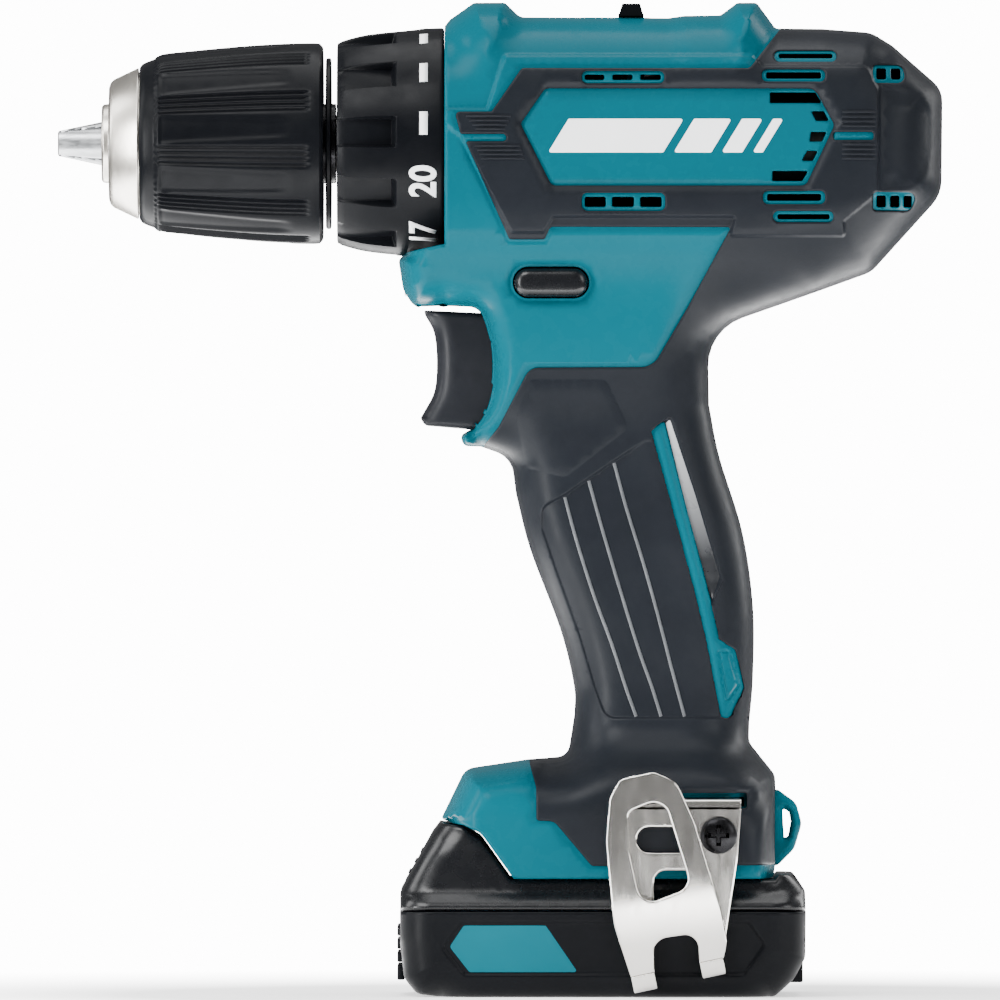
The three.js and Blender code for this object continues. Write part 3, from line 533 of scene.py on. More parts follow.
def painted_sheen_gradient(name, axis, reach, first, second, roughness):
    """Painted light: a colour that runs from one tone to another along one axis of the frame, standing in for
    a sheen, mottled by a little noise.
    """
    material, tree, shader = new_material(name, second, roughness)
    place_in_frame = tree.nodes.new("ShaderNodeTexCoord")
    parts = tree.nodes.new("ShaderNodeSeparateXYZ")
    share = tree.nodes.new("ShaderNodeMapRange")
    share.inputs["From Min"].default_value = reach[0]
    share.inputs["From Max"].default_value = reach[1]
    mix = tree.nodes.new("ShaderNodeMix")
    mix.data_type = "RGBA"
    mix.inputs["A"].default_value = (*first, 1)
    mix.inputs["B"].default_value = (*second, 1)
    tree.links.new(place_in_frame.outputs["Object"], parts.inputs["Vector"])
    tree.links.new(parts.outputs[axis], share.inputs["Value"])
    tree.links.new(share.outputs["Result"], mix.inputs["Factor"])
    tree.links.new(mix.outputs["Result"], shader.inputs["Base Color"])
    vary(tree, shader, "Roughness", noise_node(tree, 300, 5), roughness - 0.04, roughness + 0.04)
    return material


TEAL = moulded("teal_shell", (0.0, 0.067, 0.091), (0.0, 0.07, 0.095), 0.24, 0.3, 2600, 0.003, specular=0.04)
ELASTOMER = moulded("dark_elastomer", (0.0072, 0.0086, 0.0112), (0.0085, 0.01, 0.013), 0.34, 0.42, 2200,
                    0.02, specular=0.085)
BLACK = moulded("black_nylon", (0.0026, 0.003, 0.004), (0.0034, 0.0039, 0.005), 0.3, 0.4, 2400, 0.01,
                specular=0.07)
GLOSS = moulded("gloss_black", (0.003, 0.0034, 0.0042), (0.0038, 0.0042, 0.0052), 0.24, 0.3, 2600, 0.002,
                specular=0.3)
SATIN_NICKEL = metal("satin_nickel", (0.6, 0.57, 0.52), (0.68, 0.65, 0.59), 0.28, 0.36, (9, 0.4, 0.4), 900,
                     0.003)
BRIGHT_NICKEL = metal("bright_nickel", (0.62, 0.6, 0.57), (0.68, 0.66, 0.62), 0.13, 0.18, (1, 1, 0.3), 500,
                      0.002)
JAW_STEEL = metal("jaw_steel", (0.34, 0.35, 0.36), (0.48, 0.49, 0.5), 0.28, 0.42, (0.2, 1, 1), 1500)
SCREW_BLACK = metal("black_oxide", (0.012, 0.012, 0.013), (0.03, 0.03, 0.032), 0.25, 0.38, (1, 1, 1), 1200)
# A lighter copy of the overmould for the grip ridges: a painted highlight in place of light catching their
# crests.
RIDGE_PAINTED_HIGHLIGHT = moulded("ridge_painted_highlight", (0.055, 0.06, 0.066), (0.07, 0.076, 0.083), 0.3, 0.4, 2200, 0.01,
                specular=0.4)
# Painted reflection on the face beside the grip's teal strip: dark low down, light grey higher up, in place
# of a sheen of light.
INLAY_PAINTED_SHEEN = painted_sheen_gradient("inlay_painted_sheen", "Z", (0.093, 0.124), (0.006, 0.007, 0.009), (0.34, 0.35, 0.36), 0.3)
MARK_WHITE = moulded("white_print", (0.88, 0.89, 0.9), (0.93, 0.94, 0.95), 0.4, 0.5, 2600, 0.004)


# ------------------------------------------------------------------ the body seen from the side

# Chains of the outline, in order round the body. Each is (points, rounding): the rounding is how far in from
# that edge the side reaches its full width, and None marks a flat end that isn't rounded over.
FRONT_FACE = -33.72
FOOT_BOTTOM = 25.2

chains = {
    "front": ([(FRONT_FACE, 160.2), (FRONT_FACE, 207.0)], None),
    "top": (rounded([
        (FRONT_FACE, 207.0), (-32.6, 208.4, 0.8), (-27.5, 212.0, 1.5), (-20.8, 212.0, 1.2),
        (-17.6, 208.9, 2.5), (14.0, 208.7), (17.5, 209.2, 1), (25.2, 209.3, 1.5), (28.8, 212.0, 1.2),
        (33.0, 212.0, 1.2), (37.0, 206.5, 1), (47.0, 206.4), (57.5, 205.6, 6), (62.0, 202.8)],
        closed=False), 19),
    "tail": (rounded([(62.0, 202.8), (72.7, 193.4, 5.5), (72.5, 171.0, 8), (57.5, 154.4, 6), (45.0, 149.9)],
                     closed=False), 17),
    "grip_rear": (np.vstack([
        rounded([(45.0, 149.9), (22.5, 142.0, 12), (22.8, 126.0)], closed=False),
        spline([(22.8, 126.0), (25.0, 115.0), (29.9, 99.0), (32.2, 83.0), (32.2, 68.0), (31.4, 58.0)])[1:],
        rounded([(31.4, 58.0), (31.3, 54.0, 3), (36.9, 47.0, 3), (37.0, 44.0)], closed=False)[1:]]), 15),
    "foot_rear": ([(37.0, 44.0), (37.0, 28.5), (36.6, FOOT_BOTTOM)], 6),
    "foot_bottom": ([(36.6, FOOT_BOTTOM), (-19.0, FOOT_BOTTOM)], None),
    "tower_edge": (rounded([(-19.0, FOOT_BOTTOM), (-26.0, 34.9, 4), (-29.6, 36.6, 2), (-33.2, 37.1)],
                           closed=False), None),
    "foot_front": (rounded([(-33.2, 37.1), (-34.5, 37.6, 0.6), (-29.3, 48.3, 3.5), (-16.0, 50.3),
                            (-12.0, 50.6)],
                           closed=False), 7.5),
    "grip_front": (np.vstack([
        rounded([(-12.0, 50.6), (-7.4, 51.0, 4), (-6.0, 60.0)], closed=False),
        spline([(-6.0, 60.0), (-6.1, 66.0), (-9.0, 78.0), (-15.4, 95.0), (-18.5, 107.0)])[1:],
        rounded([(-18.5, 107.0), (-19.5, 114.8, 6), (-26.0, 117.1)], closed=False)[1:]]), 12),
    "lip": (rounded([(-26.0, 117.1), (-29.7, 117.2, 1.5), (-30.4, 119.5, 1.2), (-28.2, 120.8)],
                    closed=False), 3.0),
    "trigger_edge": (np.vstack([
        spline([(-28.2, 120.8), (-25.4, 125.2), (-23.9, 131.5), (-24.0, 138.0), (-25.2, 143.0)]),
        rounded([(-25.2, 143.0), (-26.6, 146.7, 4), (-34.0, 147.0)], closed=False)[1:]]), 5.5),
    "nose": (rounded([(-34.0, 147.0), (-40.2, 146.8, 3.0), (-42.6, 150.6, 3.5), (-43.6, 156.9, 1.3),
                      (-42.4, 158.3)],
                     closed=False), 6),
    "seat": ([(-42.4, 158.3), (FRONT_FACE, 160.2)], None),
}
chains = {name: (np.array(points, float), rounding) for name, (points, rounding) in chains.items()}
body_outline = np.vstack([points[:-1] for points, _ in chains.values()])

# full half-width of the body at each height
side_width = curve([
    (25, 31.5), (40, 31.5), (44.5, 31.0), (48, 28.6), (51, 24.6), (54, 21.4), (58, 19.3), (66, 18.3),
    (80, 18.2), (96, 17.9), (112, 16.9), (120, 16.9), (130, 18.0), (140, 19.6), (150, 21.0), (157, 22.8),
    (163.5, 25.6), (170, 26.5), (212, 26.5)])


last_gaps = {"points": None, "gaps": None}


def chain_gaps(p):
    """Distance from each point to each rounded chain, kept for when the same points are asked again."""
    if last_gaps["points"] is not p:
        last_gaps["points"] = p
        last_gaps["gaps"] = [(distance(p, points, False, 2.5 * rounding), rounding)
                             for points, rounding in chains.values() if rounding]
    return last_gaps["gaps"]


def body_width(p, inset=0.0):
    """Half-width of the body at points (x, z), falling to nothing at the outline's rounded edges."""
    total = np.zeros(len(p))
    for gap, rounding in chain_gaps(p):
        total += 1 / np.maximum((gap - inset) / rounding, 1e-4) ** 4
    share = np.clip(total ** -0.25, 0, 1)
    return (side_width(p[:, 1]) - inset) * (1 - (1 - share) ** 2.4) ** (1 / 2.4)


# ------------------------------------------------------------------ lines on the body

rubber_outline = rounded([
    (-17.3, 197.6, 1.0), (31.2, 197.6, 1.2), (38.2, 206.6, 0.3), (38.4, 216.0), (80.0, 216.0), (80.0, 28.3),
    (-2.4, 27.9, 1.2), (-10.4, 37.4, 2.5), (-14.2, 37.6, 0.6), (-14.2, 44.5, 4), (-15.8, 50.4, 1),
    (-16.0, 54.0), (-42.0, 60.0), (-42.0, 110.0), (-25.6, 117.0), (-22.2, 121.3, 4), (-15.6, 133.9, 3.2),
    (10.6, 134.0, 4.5), (18.2, 147.0, 20), (27.2, 163.7, 0.4), (-11.2, 163.8, 1.0), (-12.4, 161.1, 0.8),
    (-19.9, 161.1, 0.8), (-29.3, 182.0, 0.4), (-20.6, 182.0, 0.75), (-20.6, 183.5, 0.75),
    (-30.3, 183.5, 0.4), (-31.6, 188.3, 0.9), (-23.7, 188.3, 0.8)])

panel_outline = rounded([
    (-17.5, 185.7, 1.0), (-12.3, 193.2, 1.3), (44.9, 193.2, 2.2), (49.2, 185.4, 1.4), (43.1, 172.6, 1.6),
    (-10.9, 172.6, 1.4)])

proud_outline = rounded([
    (-34.0, 188.9), (-24.6, 188.9, 0.5), (-20.9, 200.4, 1.0), (31.6, 200.4, 1.0), (34.0, 198.1, 1.0),
    (56.4, 198.1, 2.0), (58.6, 193.0, 2.0), (58.6, 171.0, 2.0), (51.2, 165.0, 0.8), (51.4, 161.8, 0.6),
    (27.0, 161.8, 0.6), (28.2, 165.9, 0.6), (-10.6, 165.9, 1.0), (-12.6, 162.6, 0.6), (-19.4, 162.6, 0.6),
    (-30.2, 183.0, 0.6), (-34.0, 186.0)])

rim_slots = {
    "upper": slot(-4.5, 13.0, 194.3, 196.9, 1.1),
    "lower": slot(-4.5, 13.2, 167.2, 171.0, 1.2),
    "rear_1": slot(36.5, 49.7, 199.0, 201.3, 1.1),
    "rear_2": slot(33.8, 47.2, 194.7, 197.3, 1.1),
    "rear_3": slot(34.0, 47.2, 168.6, 171.4, 1.1),
    "rear_4": slot(36.2, 49.0, 164.8, 167.1, 1.1),
    "tail_1": rounded([(57.5, 194.5, 0.8), (64.6, 194.5, 1.9), (63.8, 198.3, 1.6), (57.5, 198.3, 0.8)]),
    "tail_2": rounded([(57.5, 167.3, 0.8), (65.6, 167.3, 1.6), (67.0, 171.2, 1.9), (57.5, 171.2, 0.8)]),
    "bar": slot(49.0, 57.5, 182.3, 183.9, 0.5),
}


def slot_row(pairs, z0, z1, radius=0.45):
    return [slot(x0, x1, z0, z1, radius) for x0, x1 in pairs]


cooling_slots = (
    slot_row([(-3.9, 0.3), (2.0, 6.3), (7.9, 12.3)], 195.0, 196.2)
    + slot_row([(-3.9, 0.6), (1.9, 6.6), (7.9, 12.5)], 168.0, 170.2)
    + slot_row([(37.4, 48.9)], 199.7, 200.7) + slot_row([(34.7, 46.4)], 195.3, 196.7)
    + slot_row([(34.9, 46.4)], 169.3, 170.8) + slot_row([(37.1, 48.2)], 165.4, 166.5)
    + slot_row([(58.2, 60.3), (61.3, 63.4)], 195.2, 197.6)
    + slot_row([(58.2, 60.2), (61.1, 63.1), (64.0, 65.8)], 168.0, 170.5)
    + [rounded([(35.5, 190.1, 0.3), (46.6, 190.1, 0.3), (45.2, 192.4, 0.3), (35.5, 192.4, 0.3)]),
       rounded([(36.0, 173.5, 0.3), (42.4, 173.5, 0.3), (43.7, 175.7, 0.3), (36.0, 175.7, 0.3)]),
       rounded([(44.2, 188.4, 0.3), (47.0, 188.4, 0.3), (48.1, 186.3, 0.3), (45.3, 186.3, 0.3)]),
       rounded([(44.2, 184.0, 0.3), (47.6, 184.0, 0.3), (46.6, 181.9, 0.3), (43.9, 181.9, 0.3)]),
       rounded([(42.2, 177.8, 0.3), (44.6, 177.8, 0.3), (45.8, 180.0, 0.3), (43.4, 180.0, 0.3)])])

button_outline = slot(button_low[0], button_high[0], button_low[2], button_high[2], 2.95)
button_hole = slot(button_low[0] - 0.4, button_high[0] + 0.4, button_low[2] - 0.4, button_high[2] + 0.4, 3.3)

# the slanted slot in the grip: a teal strip with a sloping dark face behind it
inlay_strip = rounded([
    (10.4, 120.4, 0.3), (12.8, 122.2, 0.2), (17.3, 104.4), (22.2, 86.0), (23.1, 83.2, 0.4),
    (24.7, 76.0, 0.4), (28.3, 73.6, 1.0), (30.1, 65.6, 0.8), (26.8, 59.0, 0.8), (25.3, 59.6, 0.4),
    (22.1, 76.0), (20.0, 85.0), (15.0, 103.6)])
inlay_slope_edge = np.array([(14.4, 123.6), (15.1, 122.4), (20.1, 107.0), (25.4, 89.4), (25.6, 88.0),
                             (23.2, 83.3)])
inlay_whole = rounded([
    (10.4, 120.4, 0.3), (14.4, 123.6, 0.5), (15.3, 122.0, 0.4), (20.1, 107.0), (25.6, 88.6, 0.8),
    (23.1, 83.2, 0.5), (24.7, 76.0, 0.4), (28.3, 73.6, 1.0), (30.1, 65.6, 0.8), (26.8, 59.0, 0.8),
    (25.3, 59.6, 0.4), (22.1, 76.0), (20.0, 85.0), (15.0, 103.6)])

thumb_facet = rounded([(-18.5, 123.6, 1.5), (-15.7, 131.4, 1.2), (0.8, 131.4, 2.0), (5.7, 121.0, 2.0),
                       (-8.0, 110.4, 2.5), (-16.5, 112.5, 2.0)])

inlay_engraving = rounded([(24.7, 73.4, 0.3), (26.7, 73.4, 0.3), (28.9, 66.3, 0.3), (26.4, 62.9, 0.3)])

grip_panel = rounded([
    (-13.1, 99.5), (-13.0, 104.3, 2.6), (-8.0, 107.0), (2.2, 114.0), (9.0, 118.4), (40.0, 118.4),
    (40.0, 59.2), (0.6, 59.2, 3.0), (-1.6, 65.0), (-5.0, 76.5), (-10.2, 91.0)])
grip_panel_fade = curve([(59, 21.0), (76, 17.0), (94, 11.5), (112, 5.5), (118, 3.5)])

tail_panel = rounded([
    (59.0, 194.0, 0.5), (66.5, 192.4, 3), (69.8, 188.5, 3), (69.9, 181.0, 20), (68.6, 175.0, 3),
    (66.0, 172.4, 2), (59.0, 171.6, 0.5)])

clip_slot = slot(15.0, 30.6, 40.2, 43.4, 0.5)
clip_slot_opening = slot(5.0, 30.0, 40.6, 42.5, 0.3)

housing_screws = [node_box(f"housing_screw_{i}") for i in range(1, 6)]
screw_places = [((low[0] + high[0]) / 2, (low[2] + high[2]) / 2) for low, high in housing_screws]
screw_holes = [disc(x, z, 3.3) for x, z in screw_places]


def covered(p, grow=0.0):
    """Signed distance into the area that the overmould covers, positive inside."""
    gap = -signed(p, rubber_outline)
    for hole in [panel_outline, inlay_strip, *rim_slots.values()]:
        gap = np.minimum(gap, signed(p, hole))
    return gap + grow


def relief(p):
    """Raised and sunken areas that the hard shell and the overmould share."""
    height = 0.95 * (1 - ramp(signed(p, proud_outline), -0.5, 0.5))
    return height - 1.0 * (1 - ramp(signed(p, panel_outline), 0.0, 1.7))


def shell_top(p):
    """Outer face of the hard shell: sunk below the overmould where that covers it."""
    under = ramp(covered(p), 0.1, 0.6)
    visible = body_width(p) + relief(p)
    visible -= 0.3 * (1 - ramp(-covered(p), 0.2, 1.2))
    visible -= 0.7 * (1 - ramp(signed(p, button_hole), 0.3, 1.6))
    visible -= 0.35 * (1 - ramp(distance(p, inlay_engraving, True, 2.0), 0.1, 0.45))
    visible -= edge_drop(distance(p, chains["front"][0], False, 6), 0.9)
    visible -= edge_drop(distance(p, chains["seat"][0], False, 6), 0.9)
    visible -= edge_drop(distance(p, chains["foot_bottom"][0], False, 6), 0.7)
    visible -= edge_drop(distance(p, chains["tower_edge"][0], False, 6), 0.7)
    for hole in cooling_slots:
        visible -= edge_drop(signed(p, hole), 0.3)
    sunk = body_width(p, RUBBER) + np.minimum(relief(p), 0.0) - 0.1
    return np.maximum(np.where(under > 0, visible + (sunk - visible) * under, visible), SPLIT)


def pocket_floor(p):
    """Half-width of the space kept free inside for the trigger, lamp and selector, or else the split."""
    trigger = (p[:, 0] < -12.8) & (p[:, 1] > 121.4) & (p[:, 1] < 147.3)
    lamp = (p[:, 0] < -36.0) & (p[:, 1] > 149.0) & (p[:, 1] < 154.2)
    selector = (p[:, 0] > -3.8) & (p[:, 0] < 9.8) & (p[:, 1] > 200.0)
    return np.where(trigger, trigger_high[1] + 0.6, np.where(lamp, 2.9, np.where(selector, 3.5, SPLIT)))


def shell_bottom(side):
    def bottom(p):
        inner = shell_top(p) - HARD_WALL
        if side > 0:
            for hole in screw_holes:
                inner -= 9.0 * (1 - ramp(signed(p, hole), 0.8, 1.6))
        return np.maximum(inner, pocket_floor(p))
    return bottom


def make_shell(side):
    """One hard half of the housing."""
    word = "left" if side < 0 else "right"
    holes = [*cooling_slots, button_hole]
    holes += [clip_slot_opening] if side < 0 else screw_holes

    lines = [body_outline, rubber_outline, panel_outline, inlay_strip, inlay_engraving, proud_outline,
             *rim_slots.values(), *holes]
    def top(p):
        return np.maximum(shell_top(p), pocket_floor(p))

    obj = plate(f"{word}_shell", side, lines, within(body_outline, holes), top, shell_bottom(side), TEAL,
                rings=(0.3, 0.7, 1.3, 2.2, 3.6))
    return place(obj, "housing", "housing_plastic", f"{word}_housing")


# ------------------------------------------------------------------ overmould


def grip_relief(p):
    """The sunken panel on the grip, which fades out to the back, and the faint raised facet above it."""
    fade = 1 - ramp(p[:, 0] - grip_panel_fade(p[:, 1]), 0.0, 9.0)
    facet = 0.13 * (1 - ramp(signed(p, thumb_facet), -0.7, 0.05))
    return facet - 0.75 * fade * (1 - ramp(signed(p, grip_panel), -0.5, 0.25))


def inlay_slope(p):
    """The dark face that slopes down to the teal strip in the grip."""
    within = inside(p, inlay_whole)
    to_strip = distance(p, inlay_strip, True, 8)
    to_edge = distance(p, inlay_slope_edge, False, 8)
    share = to_edge / np.maximum(to_strip + to_edge, 1e-6)
    return np.where(within, -0.1 - 1.6 * share, 0.0)


def overmould_top(side):
    def top(p):
        height = body_width(p) + PROUD + relief(p) + grip_relief(p) + inlay_slope(p)
        height -= 0.55 * (1 - ramp(signed(p, tail_panel), -0.9, 0.9))
        if side < 0:
            height -= 0.5 * (1 - ramp(signed(p, clip_slot), 0.3, 1.2))
        edge = np.minimum(covered(p), 6)
        height -= edge_drop(np.maximum(edge, 0), 0.45)
        share = np.clip(distance(p, body_outline, True, 1.0), 0, 1)
        return np.maximum(height * np.sqrt(1 - (1 - share) ** 2), SPLIT)
    return top


def make_overmould(side):
    """The soft layer on one half of the housing."""
    word = "left" if side < 0 else "right"
    holes = [panel_outline, inlay_strip, *rim_slots.values()]
    holes += [clip_slot] if side < 0 else screw_holes

    def keep(p):
        return within(body_outline, holes)(p) & inside(p, rubber_outline)

    def bottom(p):
        return np.maximum(body_width(p, RUBBER + 0.1), SPLIT)

    lines = [body_outline, rubber_outline, proud_outline, inlay_whole, grip_panel, thumb_facet, tail_panel,
             *holes]
    obj = plate(f"{word}_soft_layer", side, lines, keep, overmould_top(side), bottom, ELASTOMER,
                rings=(0.2, 0.5, 1.1, 2.2, 3.6))
    return place(obj, "housing", "soft_overmould", f"{word}_overmould")


# ------------------------------------------------------------------ chuck

RIB_GROUPS = 11
RIB_PITCH = 1.2


def around_axis(name, rows, angles, material):
    """A closed surface about the spindle axis. Each row is (x, radius), numbers or one value for each angle.

    Angle 0 faces the camera and 90 degrees is up.
    """
    steps = len(angles)
    vertices = []
    for x, radius in rows:
        x = np.broadcast_to(x, steps)
        radius = np.broadcast_to(radius, steps)
        vertices.append(np.column_stack([x, -radius * np.cos(angles), AXIS_Z + radius * np.sin(angles)]))
    faces = []
    count = len(rows)
    for row in range(count):
        below = (row + 1) % count
        for k in range(steps):
            after = (k + 1) % steps
            faces.append([row * steps + k, below * steps + k, below * steps + after, row * steps + after])
    obj = make_object(name, np.vstack(vertices), faces, material)
    tidy_mesh(obj)
    keep_sharp(obj)
    return obj


def group_angles(count, phase, offsets, radius):
    """The angles of points that lie at the given distances round the rim from each of count centres."""
    centres = phase + 2 * math.pi * np.arange(count) / count
    return np.sort((centres[:, None] + np.array(offsets)[None] / radius).ravel())


def nearest(angles, count, phase, radius):
    """Distance round the rim from each angle to the nearest of count centres."""
    pitch = 2 * math.pi / count
    return ((angles - phase + pitch / 2) % pitch - pitch / 2) * radius


def make_sleeve():
    rim = 20.3
    phase = math.radians(-8.2)
    front, rear = sleeve_low[0], sleeve_high[0]
    ribs = np.arange(-2.4, 2.41, 0.15)
    between = np.linspace(2.9, 2 * math.pi * rim / RIB_GROUPS - 2.9, 12)
    angles = group_angles(RIB_GROUPS, phase, [*ribs, *between], rim)
    from_rib = nearest(angles, RIB_GROUPS, phase, rim)
    from_panel = nearest(angles, RIB_GROUPS, phase + math.pi / RIB_GROUPS, rim)
    base = curve([(front, 16.4), (-98.3, 17.0), (-95.4, 18.2), (-94.2, 18.75), (-92.5, 19.05), (-61.5, 21.2),
                  (-60.3, 21.1)])
    grooves = np.where(np.abs(from_rib) < 2 * RIB_PITCH,
                       0.5 - 0.5 * np.cos(2 * math.pi * from_rib / RIB_PITCH), 0)
    zigzag = -95.6 + 0.55 * np.abs((from_rib / 0.8) % 2 - 1)
    rows = [(front, 15.7), (front, 16.2)]
    for x in [front + 0.25, front + 0.6, -97.5, -96.4, *np.arange(-96.0, -93.0, 0.25),
              *np.arange(-93.0, -67.0, 1.4), *np.arange(-67.0, -61.6, 0.45), -61.4, -60.9, -60.4]:
        radius = base(np.full(len(angles), x))
        radius = radius + 0.28 * ramp(x - zigzag, -0.2, 0.2)
        radius = radius - 0.42 * grooves * ramp(x, -94.9, -94.5) * (1 - ramp(x, -63.4, -62.4))
        half = 3.4 - 0.045 * (x + 94)
        narrowing = ramp(-x, 65.5, 69.5)
        panel = (1 - ramp(np.abs(from_panel), half - 1.1, half)) * ramp(x, -94.8, -94.0) * narrowing
        rows.append((x, radius - 0.38 * panel))
    rows += [(rear - 0.35, 20.9), (rear - 0.08, 20.5), (rear, 20.0), (rear, 16.5), (-95.0, 16.5),
             (-95.0, 15.7)]
    obj = around_axis("grip_sleeve", rows, angles, BLACK)
    return place(obj, "chuck_sleeve", "black_plastic", "chuck_sleeve")


def make_chuck_body():
    profile = [
        (-107.0, 5.7), (-107.0, 7.9), (-106.6, 8.35), (-105.5, 8.5), (-105.45, 12.0), (-105.1, 13.0),
        (-104.4, 13.7), (-99.25, 16.15), (-99.1, 16.0), (-99.1, 15.2), (-74.0, 15.2), (-74.0, 13.8)]
    obj = turned("chuck_nose", profile, SATIN_NICKEL, 128, 0.22, 25)
    return place(obj, "spindle", "satin_nickel", "chuck_body")


def make_hub():
    """The dark steel rear end of the chuck, which shows between the sleeve and the torque ring."""
    profile = [(-62.5, 6.4), (-62.5, 15.8), (-60.0, 15.8), (-59.9, 8.5), (-56.9, 8.5), (-56.9, 6.4)]
    obj = turned("chuck_hub", profile, SCREW_BLACK, 96, 0.2)
    place(obj, "spindle", "black_steel")


def make_rear_ring():
    profile = [(-59.1, 8.8), (-59.1, 17.9), (-58.8, 18.3), (-58.1, 18.3), (-57.9, 17.8), (-57.9, 8.8)]
    obj = turned("chuck_back_ring", profile, BLACK, 96, 0.12)
    return place(obj, "spindle", "black_plastic", "chuck_rear_ring")


def make_jaw(number):
    """A round jaw ground to a third of the chuck's tip."""
    slide = next(j for j in frame["joints"] if j["name"] == f"jaw_{number}_slide")
    along = Vector(slide["axis"])
    tilt = math.acos(along.x)
    azimuth = math.atan2(along.z, along.y)
    radius, length, crossing, clearance, sides = 3.4, 33, -112.9, 0.16, 48
    tip, rear = jaw_low[0], jaw_low[0] + length * math.cos(tilt)
    ring_points = np.linspace(0, 2 * math.pi, sides, endpoint=False)
    vertices = []
    stations = [tip, tip + 0.25, *np.linspace(tip + 0.7, rear - 0.5, 22), rear]
    for x in stations:
        middle = (x - crossing) * math.tan(tilt)
        size = radius - (0.3 if x in (tip, rear) else 0.0)
        u = middle + size * np.cos(ring_points)
        v = size * np.sin(ring_points)
        u = np.maximum(u, clearance)
        limit = math.sqrt(3) * (u - clearance)
        v = np.clip(v, -limit, limit)
        y = u * math.cos(azimuth) - v * math.sin(azimuth)
        z = u * math.sin(azimuth) + v * math.cos(azimuth)
        vertices.append(np.column_stack([np.full(sides, x), y, AXIS_Z + z]))
    faces = []
    for row in range(len(stations) - 1):
        for k in range(sides):
            a, b = row * sides + k, row * sides + (k + 1) % sides
            faces.append([a, b, b + sides, a + sides])
    faces.append(list(range(sides))[::-1])
    faces.append([(len(stations) - 1) * sides + k for k in range(sides)])
    obj = make_object(f"jaw_{number}", np.vstack(vertices), faces, JAW_STEEL)
    tidy_mesh(obj)
    keep_sharp(obj, 35)
    return place(obj, f"chuck_jaw_{number}", "black_steel", f"chuck_jaw_{number}")


# ------------------------------------------------------------------ torque ring and its marks

RING_POCKETS = 11
POCKET_PHASE = math.radians(5.3)
ring_radius = curve([(-56.7, 21.4), (-55.5, 21.95), (-50.0, 23.3), (-43.0, 24.05), (-34.3, 24.75),
                     (-33.8, 24.5)])


def make_torque_ring():
    rim = 23.0
    front, rear = ring_low[0], ring_high[0]
    edge_steps = [-4.6, -3.45, -3.3, -3.22, -3.1, -2.98, -2.9, -1.4, 0, 1.4, 2.9, 2.98, 3.1, 3.22, 3.3,
                  3.45, 4.6, 6.2]
    angles = group_angles(RING_POCKETS, POCKET_PHASE, edge_steps, rim)
    from_pocket = np.abs(nearest(angles, RING_POCKETS, POCKET_PHASE, rim))
    rows = [(front, 9.7), (front, 20.8)]
    for x in [front + 0.12, front + 0.4, *np.arange(front + 1, -45.2, 0.9), -45.1, -44.9, -44.7, -44.5,
              -44.3, -44.1, -43.9, -43.7, *np.arange(-43.0, -34.6, 0.9), -34.4, -34.1, -33.9]:
        radius = ring_radius(np.full(len(angles), x))
        depth = 0.5 + 1.9 * np.clip((x + 56.2) / 11.3, 0, 1)
        pocket = (1 - ramp(from_pocket, 2.9, 3.3)) * (1 - ramp(x, -45.1, -43.9))
        rows.append((x, radius - depth * pocket))
    rows += [(rear, 24.2), (rear, 21.0), (-54.6, 21.0), (-54.6, 9.7)]
    obj = around_axis("torque_dial", rows, angles, BLACK)
    return place(obj, "torque_ring", "black_plastic", "torque_ring")


def wrap_on_ring(name, flat_mesh_faces, flat_points, x_base, angle):
    """Lays flat print on the torque ring: its own x runs round the ring and its own y towards the chuck."""
    vertices = []
    for u, v in flat_points:
        x = x_base - v
        radius = float(ring_radius(np.array([x]))[0]) + 0.03
        turn = angle + u / radius
        vertices.append((x, -radius * math.cos(turn), AXIS_Z + radius * math.sin(turn)))
    obj = make_object(name, vertices, flat_mesh_faces, MARK_WHITE)
    thick = obj.modifiers.new("thickness", "SOLIDIFY")
    thick.thickness = 0.06 * MM
    thick.offset = 0
    place(obj, "torque_ring", "black_plastic")
    return obj


def number_mark(text, degrees):
    """A dial number, cut into narrow strips so that it follows the ring."""
    letters = bpy.data.curves.new(f"number_{text}", "FONT")
    letters.body = text
    letters.size = 7.8
    letters.align_x = "CENTER"
    letters.offset = 0.24
    letters.resolution_u = 5
    holder = bpy.data.objects.new(f"number_{text}", letters)
    bpy.context.scene.collection.objects.link(holder)
    bpy.context.view_layer.update()
    flat = bpy.data.meshes.new_from_object(holder.evaluated_get(bpy.context.evaluated_depsgraph_get()))
    bpy.data.objects.remove(holder)
    work = bmesh.new()
    work.from_mesh(flat)
    for cut in np.arange(-6, 6.1, 0.7):
        everything = work.verts[:] + work.edges[:] + work.faces[:]
        bmesh.ops.bisect_plane(work, geom=everything, plane_co=(cut, 0, 0), plane_no=(1, 0, 0))
    work.verts.index_update()
    points = [(v.co.x * 0.92, v.co.y) for v in work.verts]
    faces = [[v.index for v in f.verts] for f in work.faces]
    work.free()
    bpy.data.meshes.remove(flat)
    wrap_on_ring(f"dial_number_{text}", faces, points, -35.7, math.radians(degrees))


def tick_mark(number, degrees):
    """A plain white dash on the ring."""
    columns = 8
    points = [(-2.5 + 5.0 * i / columns, v) for i in range(columns + 1) for v in (0.0, 1.75)]
    faces = [[2 * i, 2 * i + 2, 2 * i + 3, 2 * i + 1] for i in range(columns)]
    wrap_on_ring(f"dial_dash_{number}", faces, points, -37.3, math.radians(degrees))


def make_marks():
    for i, text in enumerate(["20", "17", "14", "11", "8", "5", "1"]):
        number_mark(text, -20.1 - 32.7 * i)
    for i in range(4):
        tick_mark(i + 1, 9.4 + 28 * i)


# ------------------------------------------------------------------ solids that are the same on both sides


def both_sides(name, lines, keep, top, material, **options):
    """A closed solid with the same face on each side of the split plane."""
    return plate(name, -1, lines, keep, top, lambda p: -top(p), material, mirrored=True, **options)


